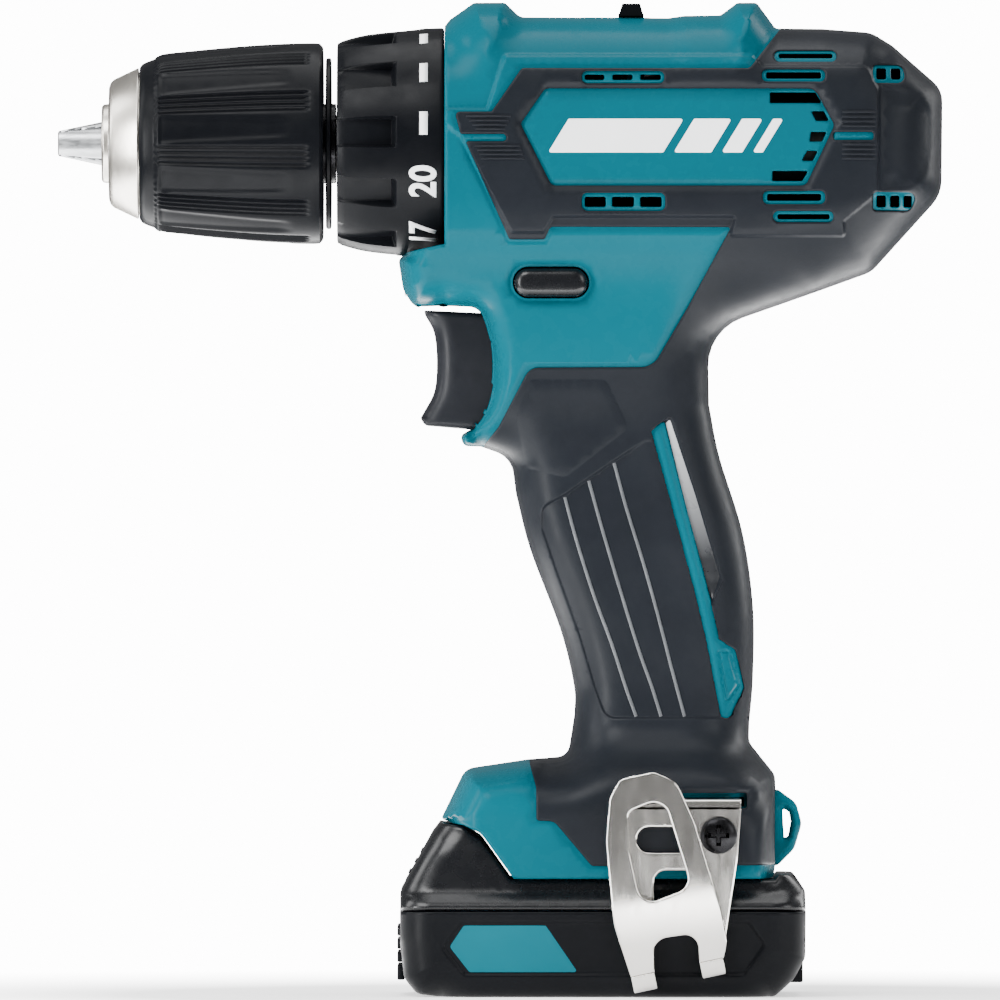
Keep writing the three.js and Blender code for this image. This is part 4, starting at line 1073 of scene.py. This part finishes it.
def simple_solid(name, outline, width, rounding, material, holes=(), **options):
    """A both-sided slab of one width with rounded borders."""
    def top(p):
        gap = distance(p, outline, True, 8)
        for hole in holes:
            gap = np.minimum(gap, distance(p, hole, True, 8))
        return width - edge_drop(gap, rounding)

    return both_sides(name, [outline, *holes], within(outline, holes), top, material, **options)


def make_trigger():
    front = spline([(-37.9, 145.2), (-36.0, 141.4), (-35.4, 135.5), (-35.9, 129.0), (-38.3, 124.2)], 5)
    outline = np.vstack([
        rounded([(-21.0, 120.0), (-28.6, 120.8), (-38.0, 121.6, 1.5), (-38.9, 123.2, 0.6), (-38.3, 124.2)],
                closed=False),
        front[::-1][1:],
        rounded([(-37.9, 145.2), (-38.2, 146.2, 0.9), (-36.0, 146.1), (-21.0, 145.4)], closed=False)[1:]])
    width = 9.9

    def top(p):
        height = width - edge_drop(distance(p, front, False, 8), 4.2)
        return height - edge_drop(distance(p, outline, True, 6), 1.3)

    obj = both_sides("trigger_cap", [outline], within(outline), top, TRIGGER_BLACK, spacing=1.6,
                     rings=(0.25, 0.7, 1.2, 2.0, 3.2), line_spacing=0.9)
    return place(obj, "trigger", "black_plastic", "trigger")


def make_direction_button():
    width = button_high[1] - 0.1

    def top(p):
        gap = distance(p, button_outline, True, 4)
        return width - edge_drop(gap, 1.6) + 0.25 * ramp(gap, 0.5, 3.0)

    obj = both_sides("push_button", [button_outline], within(button_outline), top, GLOSS, spacing=1.0,
                     rings=(0.15, 0.4, 0.9, 1.5), line_spacing=0.5)
    place(obj, "direction_button", "gloss_black", "direction_button")
    flange = slot(button_low[0] - 1.4, button_high[0] + 1.4, button_low[2] - 1.4, button_high[2] + 1.4, 4.2)
    stop = simple_solid("button_flange", flange, 1.6, 0.3, GLOSS, spacing=2.0, rings=(0.2,),
                        line_spacing=1.0)
    place(stop, "direction_button", "gloss_black")


def make_strap_loop():
    outline = rounded([(33.5, 43.8), (37.6, 43.8, 1.5), (41.4, 41.0, 3), (42.6, 36.6, 3.5), (41.0, 31.2, 4),
                       (37.4, 27.6, 1.5), (33.5, 27.6)])
    hole = rounded([(38.4, 40.0, 0.4), (39.9, 39.0, 0.6), (40.3, 37.0, 0.8), (39.7, 33.8, 0.5),
                    (38.8, 33.4, 0.3)])
    obj = simple_solid("strap_loop", outline, 5.2, 1.6, TEAL, [hole], spacing=1.2,
                       rings=(0.2, 0.5, 1.0, 1.6), line_spacing=0.7)
    place(obj, "housing", "housing_plastic")
    return obj


# ------------------------------------------------------------------ battery

SEAM = battery_high[2]

label_recess = rounded([(-34.2, 10.6, 1.2), (-30.2, 15.9, 1.2), (31.0, 15.9, 1.2), (34.4, 11.2, 1.2),
                        (30.0, 4.8, 1.2), (-29.6, 4.8, 1.2)])
label_outline = rounded([(-32.6, 10.8, 0.8), (-29.6, 15.3, 0.8), (-12.2, 15.3, 0.5), (-5.4, 5.4, 0.4),
                         (-28.4, 5.4, 0.8)])


def make_battery_lower():
    x0, x1 = battery_low[0], battery_high[0]
    front = rounded([(x0 - 0.1, SEAM), (x0 - 0.1, 12.0, 12), (x0 + 0.8, 4.0, 2.5), (x0 + 3.5, 0.6, 3),
                     (x0 + 9, 0.0)],
                    closed=False)
    rear = rounded([(x1 - 8.0, 0.0), (x1 - 6.6, 0.0, 2), (x1 - 2.4, 3.8, 5), (x1, 8.4, 3), (x1 + 0.1, SEAM)],
                   closed=False)
    bottom = np.array([front[-1], rear[0]])
    outline = np.vstack([front, rear])

    def top(p):
        height = battery_high[1] - edge_drop(distance(p, front, False, 10), 7.5)
        height -= edge_drop(distance(p, rear, False, 10), 8.0)
        height -= edge_drop(distance(p, bottom, False, 8), 4.6)
        height -= edge_drop(SEAM - p[:, 1], 0.35)
        return height - 0.4 * (1 - ramp(signed(p, label_recess), -0.35, 0.25))

    obj = both_sides("pack_lower", [outline, label_recess], within(outline), top, BLACK, spacing=2.0,
                     rings=(0.2, 0.6, 1.4, 2.6, 4.2, 6.2), line_spacing=1.0)
    return place(obj, "battery", "black_plastic", "battery_lower_case")


lid_width = curve([(18.5, 31.7), (19.2, 31.6), (20.3, 30.9), (21.4, 29.6), (22.6, 28.7), (24.0, 28.3),
                   (25.0, 28.1), (30.0, 27.3), (37.5, 25.4)])
slope_foot, slope_head = np.array([-43.2, 23.2]), np.array([-36.2, 35.2])
up_slope = (slope_head - slope_foot) / np.linalg.norm(slope_head - slope_foot)
into_slope = np.array([up_slope[1], -up_slope[0]])


def make_battery_upper():
    x0, x1 = battery_low[0] - 0.05, battery_high[0] + 0.05
    base = SEAM + 0.3
    front = rounded([(x0, base), (x0, 22.4, 2.2), (-36.3, 34.9, 1.6), (-34.7, 37.0)], closed=False)
    rest = rounded([(-34.7, 37.0), (-29.7, 36.2, 2), (-25.9, 33.8, 3), (-19.6, 24.9, 0.3), (36.5, 24.9, 0.3),
                    (37.4, 26.0, 0.6), (40.8, 26.0, 1.2), (x1 - 0.1, 22.6, 2.0), (x1, base)], closed=False)
    outline = np.vstack([front, rest[1:]])
    rear = np.array([(x1, base), (x1, 23.0), (40.4, 26.0)])

    def top(p):
        height = lid_width(p[:, 1])
        height -= edge_drop(distance(p, front, False, 10), 6.0)
        height -= edge_drop(distance(p, rear, False, 10), 7.0)
        return height - edge_drop(distance(p, outline, True, 4), 0.7)

    pocket = np.array([slope_foot + up_slope * s + into_slope * d
                       for s, d in ((1.0, -3.0), (12.1, -3.0), (12.1, 5.2), (1.0, 5.2))])
    lines = [outline]
    options = dict(spacing=1.8, rings=(0.15, 0.4, 0.9, 1.8, 3.2, 5.0), line_spacing=0.9, seams=[pocket])
    obj = both_sides("pack_upper", lines, within(outline, [pocket]), top, GLOSS, **options)
    for side, word in ((-1, "left"), (1, "right")):
        shoulder = plate(f"pack_shoulder_{word}", side, lines,
                         lambda p: inside(p, outline) & inside(p, pocket), top,
                         lambda p: np.minimum(14.3, top(p)), GLOSS, **options)
        place(shoulder, "battery", "gloss_black")
    return place(obj, "battery", "gloss_black", "battery_upper_case")


def slope_block(name, along, deep, half):
    """A block on the battery's sloping front: along the slope, into the case, and half its width."""
    corners = []
    for s in along:
        for d in deep:
            x, z = slope_foot + up_slope * s + into_slope * d
            corners += [(x, -half, z), (x, half, z)]
    faces = [[0, 1, 3, 2], [4, 6, 7, 5], [0, 4, 5, 1], [2, 3, 7, 6], [0, 2, 6, 4], [1, 5, 7, 3]]
    obj = make_object(name, corners, faces, GLOSS)
    tidy_mesh(obj)
    return obj


def carve(obj, cutter):
    """Cuts one piece out of another for good, then drops the cutter."""
    boolean = obj.modifiers.new("carve", "BOOLEAN")
    boolean.object = cutter
    boolean.solver = "EXACT"
    bpy.context.view_layer.update()
    result = bpy.data.meshes.new_from_object(obj.evaluated_get(bpy.context.evaluated_depsgraph_get()))
    obj.modifiers.clear()
    old = obj.data
    obj.data = result
    bpy.data.meshes.remove(old)
    bpy.data.objects.remove(cutter)
    keep_sharp(obj, 32)


def keep_sharp(obj, degrees=38):
    """Smooth faces, with a hard line wherever they meet at more than this angle."""
    obj.data.polygons.foreach_set("use_smooth", [True] * len(obj.data.polygons))
    obj.data.set_sharp_from_angle(angle=math.radians(degrees))


def make_latch():
    """The release button on the slope, with three grip ribs."""
    body = slope_block("release_button", (1.3, 11.8), (0.25, 1.9), 13.9)
    add_bevel(body, 0.45)
    place(body, "battery_latch", "gloss_black", "battery_latch")
    for i in range(3):
        rib = slope_block(f"release_rib_{i + 1}", (3.4 + 2.6 * i, 4.3 + 2.6 * i), (-0.05, 0.3), 9.0)
        add_bevel(rib, 0.12)
        place(rib, "battery_latch", "gloss_black")


def make_battery_rail():
    """The guide on top of the battery that slides into the foot."""
    outline = slot(-19.6, 33.2, 24.3, 33.4, 0.4)

    def top(p):
        return 24.0 + 3.6 * ramp(p[:, 1], 28.3, 28.9) - edge_drop(distance(p, outline, True, 2), 0.4)

    obj = both_sides("pack_rail", [outline], within(outline), top, BLACK, spacing=2.2,
                     rings=(0.2, 0.5), line_spacing=1.5)
    place(obj, "battery", "black_plastic")


def make_front_steps():
    """Small stepped ribs down the middle of the battery's front."""
    for i, (z0, z1) in enumerate([(3.4, 6.6), (7.2, 9.4), (10.0, 12.2), (12.8, 15.0)]):
        outline = slot(-43.8, -42.2, z0, z1, 0.35)
        obj = simple_solid(f"front_step_{i + 1}", outline, 15.0, 0.5, BLACK, spacing=0.8, rings=(0.15, 0.4),
                           line_spacing=0.5)
        place(obj, "battery", "black_plastic")


def make_rear_block():
    """The small dark block at the lower rear of the battery."""
    outline = slot(38.8, 42.6, 3.0, 7.8, 0.4)
    obj = simple_solid("rear_block", outline, 20.0, 0.4, BLACK, spacing=1.0, rings=(0.15, 0.4),
                       line_spacing=0.6)
    place(obj, "battery", "black_plastic")


def print_on_battery(name, side, outline, material, lift, slot_name):
    """A thin printed patch in the recess on one side of the battery."""
    level = battery_high[1] - 0.4
    obj = plate(name, side, [outline], within(outline),
                lambda p: level + lift - edge_drop(distance(p, outline, True, 2), 0.05),
                lambda p: np.full(len(p), level - 0.1), material, spacing=2.0, rings=(0.1, 0.3),
                line_spacing=1.0)
    place(obj, "battery", slot_name)


def make_labels():
    for side, word in ((-1, "left"), (1, "right")):
        print_on_battery(f"pack_label_{word}", side, label_outline, LABEL_TEAL, 0.12, "housing_plastic")


# ------------------------------------------------------------------ belt clip

CLIP_SHEET = 1.4
clip_tilt = math.radians(11.9)
clip_fold = np.array([5.9, 4.4])
clip_along = np.array([math.cos(clip_tilt), math.sin(clip_tilt)])
clip_down = np.array([math.sin(clip_tilt), -math.cos(clip_tilt)])
clip_outer = -clip_low[1]
clip_inner = clip_outer - 2 * 4.3
LEAF_LEAN = 1.5

leaf_outline = rounded([
    (3.6, 46.6, 2.2), (10.6, 48.1, 2.5), (15.6, 46.0, 5.5), (19.4, 37.5, 8), (25.0, 19.0, 8),
    (26.3, 12.0, 8), (25.5, 8.55), (20.4, 7.5), (20.0, 13.9, 3.6), (10.4, 12.5, 3.4), (10.85, 5.5),
    (5.9, 4.45), (2.2, 15.5, 12), (0.5, 33.5, 10), (1.3, 42.5, 4)])
leaf_window = rounded([(5.2, 39.5, 2), (12.8, 42.6, 3.4), (18.6, 23.6, 3.0), (8.1, 19.6, 3.2),
                       (5.6, 31.0, 6)])
base_outline = rounded([
    (3.6, 40.9, 0.5), (29.4, 40.9, 0.7), (28.6, 30.0, 12), (26.2, 13.5, 5), (25.5, 8.55), (20.4, 7.5),
    (20.1, 24.5, 2), (19.0, 27.0, 1.5), (10.8, 27.0, 2.6), (10.85, 5.5), (5.9, 4.45), (2.8, 16.0, 8),
    (2.4, 30.0, 8)])
base_slot = slot(7.2, 18.4, 30.8, 36.2, 2.6)


def sheet(name, outline, holes, outer, bend):
    """A piece of clip sheet facing the camera, with slightly rounded edges."""
    def top(p):
        gap = distance(p, outline, True, 2)
        for hole in holes:
            gap = np.minimum(gap, distance(p, hole, True, 2))
        return outer + bend(p) - edge_drop(gap, 0.4)

    return plate(name, -1, [outline, *holes], within(outline, holes), top,
                 lambda p: outer + bend(p) - CLIP_SHEET, BRIGHT_NICKEL, spacing=1.8, rings=(0.12, 0.4, 0.8),
                 line_spacing=0.8)


def leaf_bend(p):
    """The leaf leans in a little towards its top and curves in more towards the folds."""
    above = np.maximum(-((p - clip_fold) @ clip_down), 0.0)
    return -0.7 * ramp(above, 15, 46) - LEAF_LEAN * np.maximum(1 - above / 19.0, 0.0) ** 2


def clip_fold_piece(name, along0, along1):
    """The half round fold at the foot of one leg."""
    outer = (clip_outer - LEAF_LEAN - clip_inner) / 2
    middle = clip_inner + outer
    steps = 20
    vertices = []
    for k in range(steps + 1):
        angle = math.pi * k / steps
        for radius in (outer, outer - CLIP_SHEET):
            for along in (along0, along1):
                x, z = clip_fold + clip_along * along + clip_down * (radius * math.sin(angle) - 0.05)
                vertices.append((x, -(middle + radius * math.cos(angle)), z))
    faces = [[0, 1, 3, 2], [4 * steps + i for i in (0, 2, 3, 1)]]
    for k in range(steps):
        a, b = 4 * k, 4 * k + 4
        faces += [[a, a + 1, b + 1, b], [a + 3, a + 2, b + 2, b + 3], [a + 2, a, b, b + 2],
                  [a + 1, a + 3, b + 3, b + 1]]
    obj = make_object(name, vertices, faces, BRIGHT_NICKEL)
    tidy_mesh(obj)
    add_bevel(obj, 0.25, 60)
    return obj


def make_clip():
    leaf = sheet("clip_leaf", leaf_outline, [leaf_window], clip_outer, leaf_bend)
    place(leaf, "housing", "bright_nickel", "belt_clip")
    flat = sheet("clip_base", base_outline, [base_slot], clip_inner + CLIP_SHEET, lambda p: np.zeros(len(p)))
    pieces = [flat, clip_fold_piece("clip_fold_1", 0.0, 5.05), clip_fold_piece("clip_fold_2", 14.85, 19.95)]
    tab = rounded([(-32.6 - 1.4, 39.8), (-32.6 - 1.4, 42.3, 1.5), (-29.4, 42.3), (-29.4, 40.9),
                   (-32.2, 40.9, 0.4), (-32.6, 39.8)])
    pieces.append(swept_x("clip_tab", tab, 5.6, 29.3, BRIGHT_NICKEL))
    for obj in pieces:
        place(obj, "housing", "bright_nickel")


def swept_x(name, outline, x0, x1, material):
    """An outline in (y, z) drawn out along X."""
    count = len(outline)
    vertices = [(x, y, z) for x in (x0, x1) for y, z in outline]
    faces = [list(range(count)), list(range(count, 2 * count))[::-1]]
    faces += [[i, i + count, (i + 1) % count + count, (i + 1) % count] for i in range(count)]
    obj = make_object(name, vertices, faces, material)
    tidy_mesh(obj)
    add_bevel(obj, 0.2)
    return obj


# ------------------------------------------------------------------ screws


def make_screw(name, node, body, side, head_radius, material, slot_name):
    """A pan head screw with a cross recess, along Y, with its head towards side."""
    low, high = node_box(node)
    x, z = (low[0] + high[0]) / 2, (low[2] + high[2]) / 2
    seat = high[1] - 2.2 if side > 0 else low[1] + 2.2
    tip = low[1] if side > 0 else high[1]
    shank = head_radius * 0.42
    steps = 40
    profile = [(tip, 0.0), (tip, shank * 0.7), (tip + side * 0.8, shank), (seat, shank),
               (seat, head_radius - 0.15), (seat + side * 0.15, head_radius),
               (seat + side * 0.7, head_radius)]
    for k in range(1, 7):
        angle = math.pi / 2 * k / 6
        profile.append((seat + side * (0.7 + 1.5 * math.sin(angle)), head_radius * math.cos(angle) ** 0.8))
    vertices, faces = [], []
    for k in range(steps):
        turn = 2 * math.pi * k / steps
        vertices += [(x + r * math.cos(turn), y, z + r * math.sin(turn)) for y, r in profile]
    count = len(profile)
    for k in range(steps):
        for i in range(count - 1):
            a, b = k * count + i, ((k + 1) % steps) * count + i
            faces.append([a, a + 1, b + 1, b])
    obj = make_object(name, vertices, faces, material)
    tidy_mesh(obj)
    for long, wide in ((0.56 * head_radius, 0.13 * head_radius), (0.13 * head_radius, 0.56 * head_radius)):
        mouth, floor = seat + side * 3.0, seat + side * 0.7
        corners = []
        for y, scale in ((mouth, 1.25), (floor, 0.7)):
            corners += [(x + sx * long * scale, y, z + sz * wide * scale) for sx,
                        sz in ((-1, -1), (1, -1), (1, 1), (-1, 1))]
        block = [[0, 1, 2, 3], [7, 6, 5, 4], [0, 4, 5, 1], [1, 5, 6, 2], [2, 6, 7, 3], [3, 7, 4, 0]]
        cutter = make_object("recess_cutter", corners, block, material)
        tidy_mesh(cutter)
        carve(obj, cutter)
    return place(obj, body, slot_name, node)


# ------------------------------------------------------------------ small details on the housing


def make_webs():
    """Inner webs of the right half, which close the view through the cooling slots."""
    webs = [
        (slot(-4.6, 10.2, 163.5, 201.0, 0.5), 17.4),
        (slot(35.0, 51.0, 200.0, 203.2, 0.3), 0.3),
        (rounded([(57.4, 194.4), (66.4, 194.4), (66.4, 197.4), (63.2, 199.8), (57.4, 199.8)]), 13.0),
        (rounded([(57.4, 166.6), (66.2, 166.6), (67.6, 168.4), (67.6, 171.8), (57.4, 171.8)]), 14.4)]
    for number, (outline, y0) in enumerate(webs):
        y1 = y0 + 1.1
        obj = plate(f"inner_web_{number + 1}", 1, [outline], within(outline),
                    lambda p: y1 - edge_drop(distance(p, outline, True, 2), 0.3),
                    lambda p: np.full(len(p), y0), TEAL, spacing=4.0, rings=(0.2,), line_spacing=2.0)
        place(obj, "housing", "housing_plastic")


def surface_bar(name, start, finish, width, height, surface, side, material, body="housing",
                slot_name="soft_overmould"):
    """A thin raised bar with a rounded back that lies on a side surface, from start to finish in (x, z)."""
    start, finish = np.array(start, float), np.array(finish, float)
    along = finish - start
    length = np.linalg.norm(along)
    along = along / length
    across = np.array([-along[1], along[0]])
    steps = max(2, math.ceil(length / 1.5))
    profile = [(-0.5, -0.3), (-0.5, 0.25), (-0.3, 0.8), (0.0, 1.0), (0.3, 0.8), (0.5, 0.25), (0.5, -0.3)]
    vertices, faces = [], []
    for k in range(steps + 1):
        share = k / steps
        taper = 0.25 if k in (0, steps) else 1.0
        points = np.array([start + along * length * share + across * width * a for a, _ in profile])
        level = surface(points)
        for point, (_, rise), base in zip(points, profile, level):
            lift = height * rise * (taper if rise > 0 else 1)
            vertices.append((point[0], side * (base + lift), point[1]))
    count = len(profile)
    for k in range(steps):
        for i in range(count):
            a, b = k * count + i, k * count + (i + 1) % count
            faces.append([a, b, b + count, a + count])
    faces.append(list(range(count))[::-1])
    faces.append([steps * count + i for i in range(count)])
    obj = make_object(name, vertices, faces, material)
    tidy_mesh(obj)
    keep_sharp(obj, 50)
    place(obj, body, slot_name)
    return obj


def joined(name, pieces):
    """Makes one object of several that share a body and a material."""
    vertices, faces = [], []
    for obj in pieces:
        start = len(vertices)
        vertices += [tuple(v.co / MM) for v in obj.data.vertices]
        faces += [[start + i for i in f.vertices] for f in obj.data.polygons]
    body, slot_name, material = pieces[0]["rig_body"], pieces[0]["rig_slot"], pieces[0].data.materials[0]
    for obj in pieces:
        bpy.data.objects.remove(obj)
    whole = make_object(name, vertices, faces, material)
    keep_sharp(whole, 50)
    place(whole, body, slot_name)
    return whole


def make_ribs(side):
    """The fine ribs behind the side panel and at the tip of the overmould, and the ridges on the grip, drawn
    in a lighter material as a painted highlight.
    """
    word = "left" if side < 0 else "right"
    surface = overmould_top(side)
    bars = []
    for z in (188.2, 187.2, 186.2, 185.2, 181.3, 180.3, 179.3, 178.3):
        bars.append(surface_bar("bar", (50.8, z), (58.4, z), 0.55, 0.35, surface, side, ELASTOMER))
    for row, z in enumerate((187.3, 186.4, 185.5, 184.6)):
        bars.append(surface_bar("bar", (-29.2 + 0.7 * row, z), (-19.6 - 0.4 * row, z), 0.5, 0.35, surface,
                                side, ELASTOMER))
    for row, z in enumerate((181.0, 180.1, 179.2, 178.3)):
        bars.append(surface_bar("bar", (-27.2 + 0.4 * row, z), (-17.6 + 0.3 * row, z), 0.5, 0.35, surface,
                                side, ELASTOMER))
    joined(f"fine_ribs_{word}", bars)
    ridges = []
    for keys in ([(-8.1, 106.3), (-5.6, 97.0), (-1.8, 85.0), (1.9, 75.0), (4.8, 66.0), (7.1, 59.6)],
                 [(-3.0, 109.8), (0.0, 99.0), (4.6, 83.5), (7.9, 73.0), (10.4, 66.0), (12.4, 59.6)],
                 [(2.4, 113.6), (5.0, 104.0), (8.4, 93.0), (11.5, 82.0), (14.6, 70.0), (17.4, 59.6)]):
        path = spline(keys, 3)
        for a, b in zip(path, path[1:]):
            # the ridges take the lighter material, a painted highlight
            ridges.append(surface_bar("ridge", a, b, 0.7, 0.38, surface, side, RIDGE_PAINTED_HIGHLIGHT))
    joined(f"grip_ridges_{word}", ridges)


def make_inlay_face(side):
    """The face beside the teal strip in the grip, with a painted reflection: dark low down, light grey higher
    up. It narrows to nothing at its lower end.
    """
    word = "left" if side < 0 else "right"
    outline = rounded([(13.4, 122.1, 0.3), (14.3, 122.9, 0.3), (19.7, 106.8), (24.9, 89.4), (23.3, 84.6),
                       (22.5, 86.6), (17.7, 104.5)])
    surface = overmould_top(side)
    obj = plate(f"inlay_painted_sheen_{word}", side, [outline], within(outline),
                lambda p: surface(p) + 0.14 - edge_drop(distance(p, outline, True, 2), 0.1),
                lambda p: surface(p) - 0.2, INLAY_PAINTED_SHEEN, spacing=1.6, rings=(0.1, 0.3), line_spacing=1.0)
    place(obj, "housing", "housing_plastic")


def make_emblem(side):
    """Plain white slanted bars on the side panel, where a printed name would be."""
    word = "left" if side < 0 else "right"
    for i, (x0, x1) in enumerate([(-9.5, 15.0), (17.2, 25.2), (27.4, 31.8), (34.0, 36.2)]):
        lean = 2.2
        outline = rounded([(x0 - lean, 179.6, 0.4), (x1 - lean, 179.6, 0.4), (x1 + lean, 186.8, 0.4),
                           (x0 + lean, 186.8, 0.4)])
        obj = plate(f"panel_bar_{word}_{i + 1}", side, [outline], within(outline),
                    lambda p: shell_top(p) + 0.18 - edge_drop(distance(p, outline, True, 2), 0.12),
                    lambda p: shell_top(p) - 0.1, MARK_WHITE, spacing=2.0, rings=(0.1, 0.3),
                    line_spacing=1.0)
        place(obj, "housing", "housing_plastic")


# ------------------------------------------------------------------ the pieces


TRIGGER_BLACK = moulded("trigger_nylon", (0.007, 0.0078, 0.01), (0.0088, 0.0098, 0.0125), 0.36, 0.45, 2000,
                        0.02, specular=0.15)
LABEL_TEAL = moulded("label_teal", (0.0, 0.088, 0.118), (0.0, 0.094, 0.125), 0.3, 0.36, 2600, 0.002,
                     specular=0.08)
PLATED_STEEL = metal("plated_steel", (0.2, 0.2, 0.19), (0.3, 0.29, 0.27), 0.3, 0.45, (0.3, 1, 1), 900)
SINTERED = metal("sintered_steel", (0.16, 0.15, 0.14), (0.24, 0.23, 0.21), 0.45, 0.6, (1, 1, 1), 1800, 0.02)
LENS = moulded("lamp_lens", (0.75, 0.8, 0.84), (0.85, 0.9, 0.93), 0.05, 0.12, 1500, 0.01, coat=0.5)
WRAP = moulded("cell_wrap", (0.03, 0.12, 0.2), (0.05, 0.16, 0.26), 0.25, 0.35, 1500, 0.01, coat=0.3)
BOARD = moulded("circuit_board", (0.01, 0.09, 0.04), (0.02, 0.12, 0.06), 0.35, 0.5, 1500, 0.01)
GRAPHITE = moulded("graphite", (0.02, 0.02, 0.02), (0.035, 0.035, 0.035), 0.6, 0.8, 2200, 0.03)

for half in (-1, 1):
    make_shell(half)
    make_overmould(half)
    make_ribs(half)
    make_inlay_face(half)
    make_emblem(half)
make_strap_loop()
make_webs()
make_sleeve()
make_chuck_body()
make_hub()
make_rear_ring()
for number in (1, 2, 3):
    make_jaw(number)
make_torque_ring()
make_marks()
make_trigger()
make_direction_button()
make_battery_lower()
make_battery_upper()
make_latch()
make_battery_rail()
make_front_steps()
make_rear_block()
make_labels()
make_clip()
make_screw("clip_screw", "belt_clip_screw", "housing", -1, 4.0, SCREW_BLACK, "black_steel")
for number in range(1, 6):
    make_screw(f"case_screw_{number}", f"housing_screw_{number}", "housing", 1, 2.8, PLATED_STEEL,
               "screw_steel")

# the CAD nodes that stay take their looks from their material slots
looks = {
    "housing_plastic": TEAL, "soft_overmould": ELASTOMER, "black_plastic": BLACK, "gloss_black": GLOSS,
    "satin_nickel": SATIN_NICKEL, "bright_nickel": BRIGHT_NICKEL, "screw_steel": PLATED_STEEL,
    "black_steel": SCREW_BLACK, "plated_steel": PLATED_STEEL, "sintered_steel": SINTERED, "carbon": GRAPHITE,
    "clear_lens": LENS, "cell_wrap": WRAP, "board_green": BOARD}
for part in frame["record"]["subparts"]:
    node = frame["nodes"][part["node"]]
    node.data.materials.clear()
    node.data.materials.append(looks[part["material_slot"]])
for name in ("speed_selector", "led_lamp", "motor_can", "motor_end_cap", "output_spindle", "jaw_nut"):
    add_bevel(frame["nodes"][name], 0.3)

# ------------------------------------------------------------------ camera, light and floor


def make_camera():
    camera = bpy.data.cameras.new("camera")
    camera.lens = 842
    camera.sensor_width = 36
    camera.clip_end = 40
    holder = bpy.data.objects.new("camera", camera)
    holder.location = (-0.0219, -5.0, 0.1057)
    holder.rotation_euler = (math.pi / 2, 0, 0)
    bpy.context.scene.collection.objects.link(holder)
    bpy.context.scene.camera = holder


def make_light(name, location, size, power, target=(-0.02, 0, 0.1)):
    light = bpy.data.lights.new(name, "AREA")
    light.shape = "RECTANGLE"
    light.size, light.size_y = size
    light.energy = power
    holder = bpy.data.objects.new(name, light)
    holder.location = location
    holder.rotation_euler = (Vector(target) - Vector(location)).to_track_quat("-Z", "Y").to_euler()
    bpy.context.scene.collection.objects.link(holder)


def make_world():
    """Soft light from all round, in front of a bright white background."""
    world = bpy.data.worlds.new("studio")
    world.use_nodes = True
    tree = world.node_tree
    light = tree.nodes["Background"]
    light.inputs["Strength"].default_value = 0.26
    seen = tree.nodes.new("ShaderNodeBackground")
    seen.inputs["Strength"].default_value = 14
    path = tree.nodes.new("ShaderNodeLightPath")
    mix = tree.nodes.new("ShaderNodeMixShader")
    for background in (light, seen):
        background.inputs["Color"].default_value = (1, 1, 1, 1)
    tree.links.new(path.outputs["Is Camera Ray"], mix.inputs[0])
    tree.links.new(light.outputs[0], mix.inputs[1])
    tree.links.new(seen.outputs[0], mix.inputs[2])
    tree.links.new(mix.outputs[0], tree.nodes["World Output"].inputs["Surface"])
    bpy.context.scene.world = world


def make_floor():
    """A round pale floor that brightens towards its edge, where it meets the bright backdrop."""
    radius, steps = 0.3, 160
    mesh = bpy.data.meshes.new("floor")
    turns = [2 * math.pi * k / steps for k in range(steps)]
    mesh.from_pydata([(radius * math.cos(turn), radius * math.sin(turn), 0) for turn in turns], [],
                     [list(range(steps))])
    floor = bpy.data.objects.new("floor", mesh)
    bpy.context.scene.collection.objects.link(floor)
    pale, tree, shader = new_material("pale_floor", (0.9, 0.9, 0.9), 0.8)
    shader.inputs["Emission Color"].default_value = (1, 1, 1, 1)
    place_on_floor = tree.nodes.new("ShaderNodeTexCoord")
    reach = tree.nodes.new("ShaderNodeVectorMath")
    reach.operation = "LENGTH"
    glow = tree.nodes.new("ShaderNodeMapRange")
    for socket, value in {"From Min": 0.1, "From Max": 0.27, "To Min": 0.9, "To Max": 12.0}.items():
        glow.inputs[socket].default_value = value
    tree.links.new(place_on_floor.outputs["Object"], reach.inputs[0])
    tree.links.new(reach.outputs["Value"], glow.inputs["Value"])
    tree.links.new(glow.outputs["Result"], shader.inputs["Emission Strength"])
    mesh.materials.append(pale)


def make_studio():
    make_world()
    make_floor()
    make_light("key", (-0.7, -1.0, 1.6), (1.1, 0.8), 42)
    make_light("fill", (1.4, -1.0, 0.8), (0.9, 1.0), 18)
    make_light("top", (0.1, 0.1, 1.6), (1.5, 0.9), 24)
    make_light("left_strip", (-1.25, -0.85, 0.25), (0.25, 1.1), 34)
    make_light("left_card", (-1.4, 0.1, 0.8), (0.5, 1.2), 16)
    make_light("back_right", (1.2, 1.0, 0.7), (0.5, 1.2), 12)


make_camera()
make_studio()
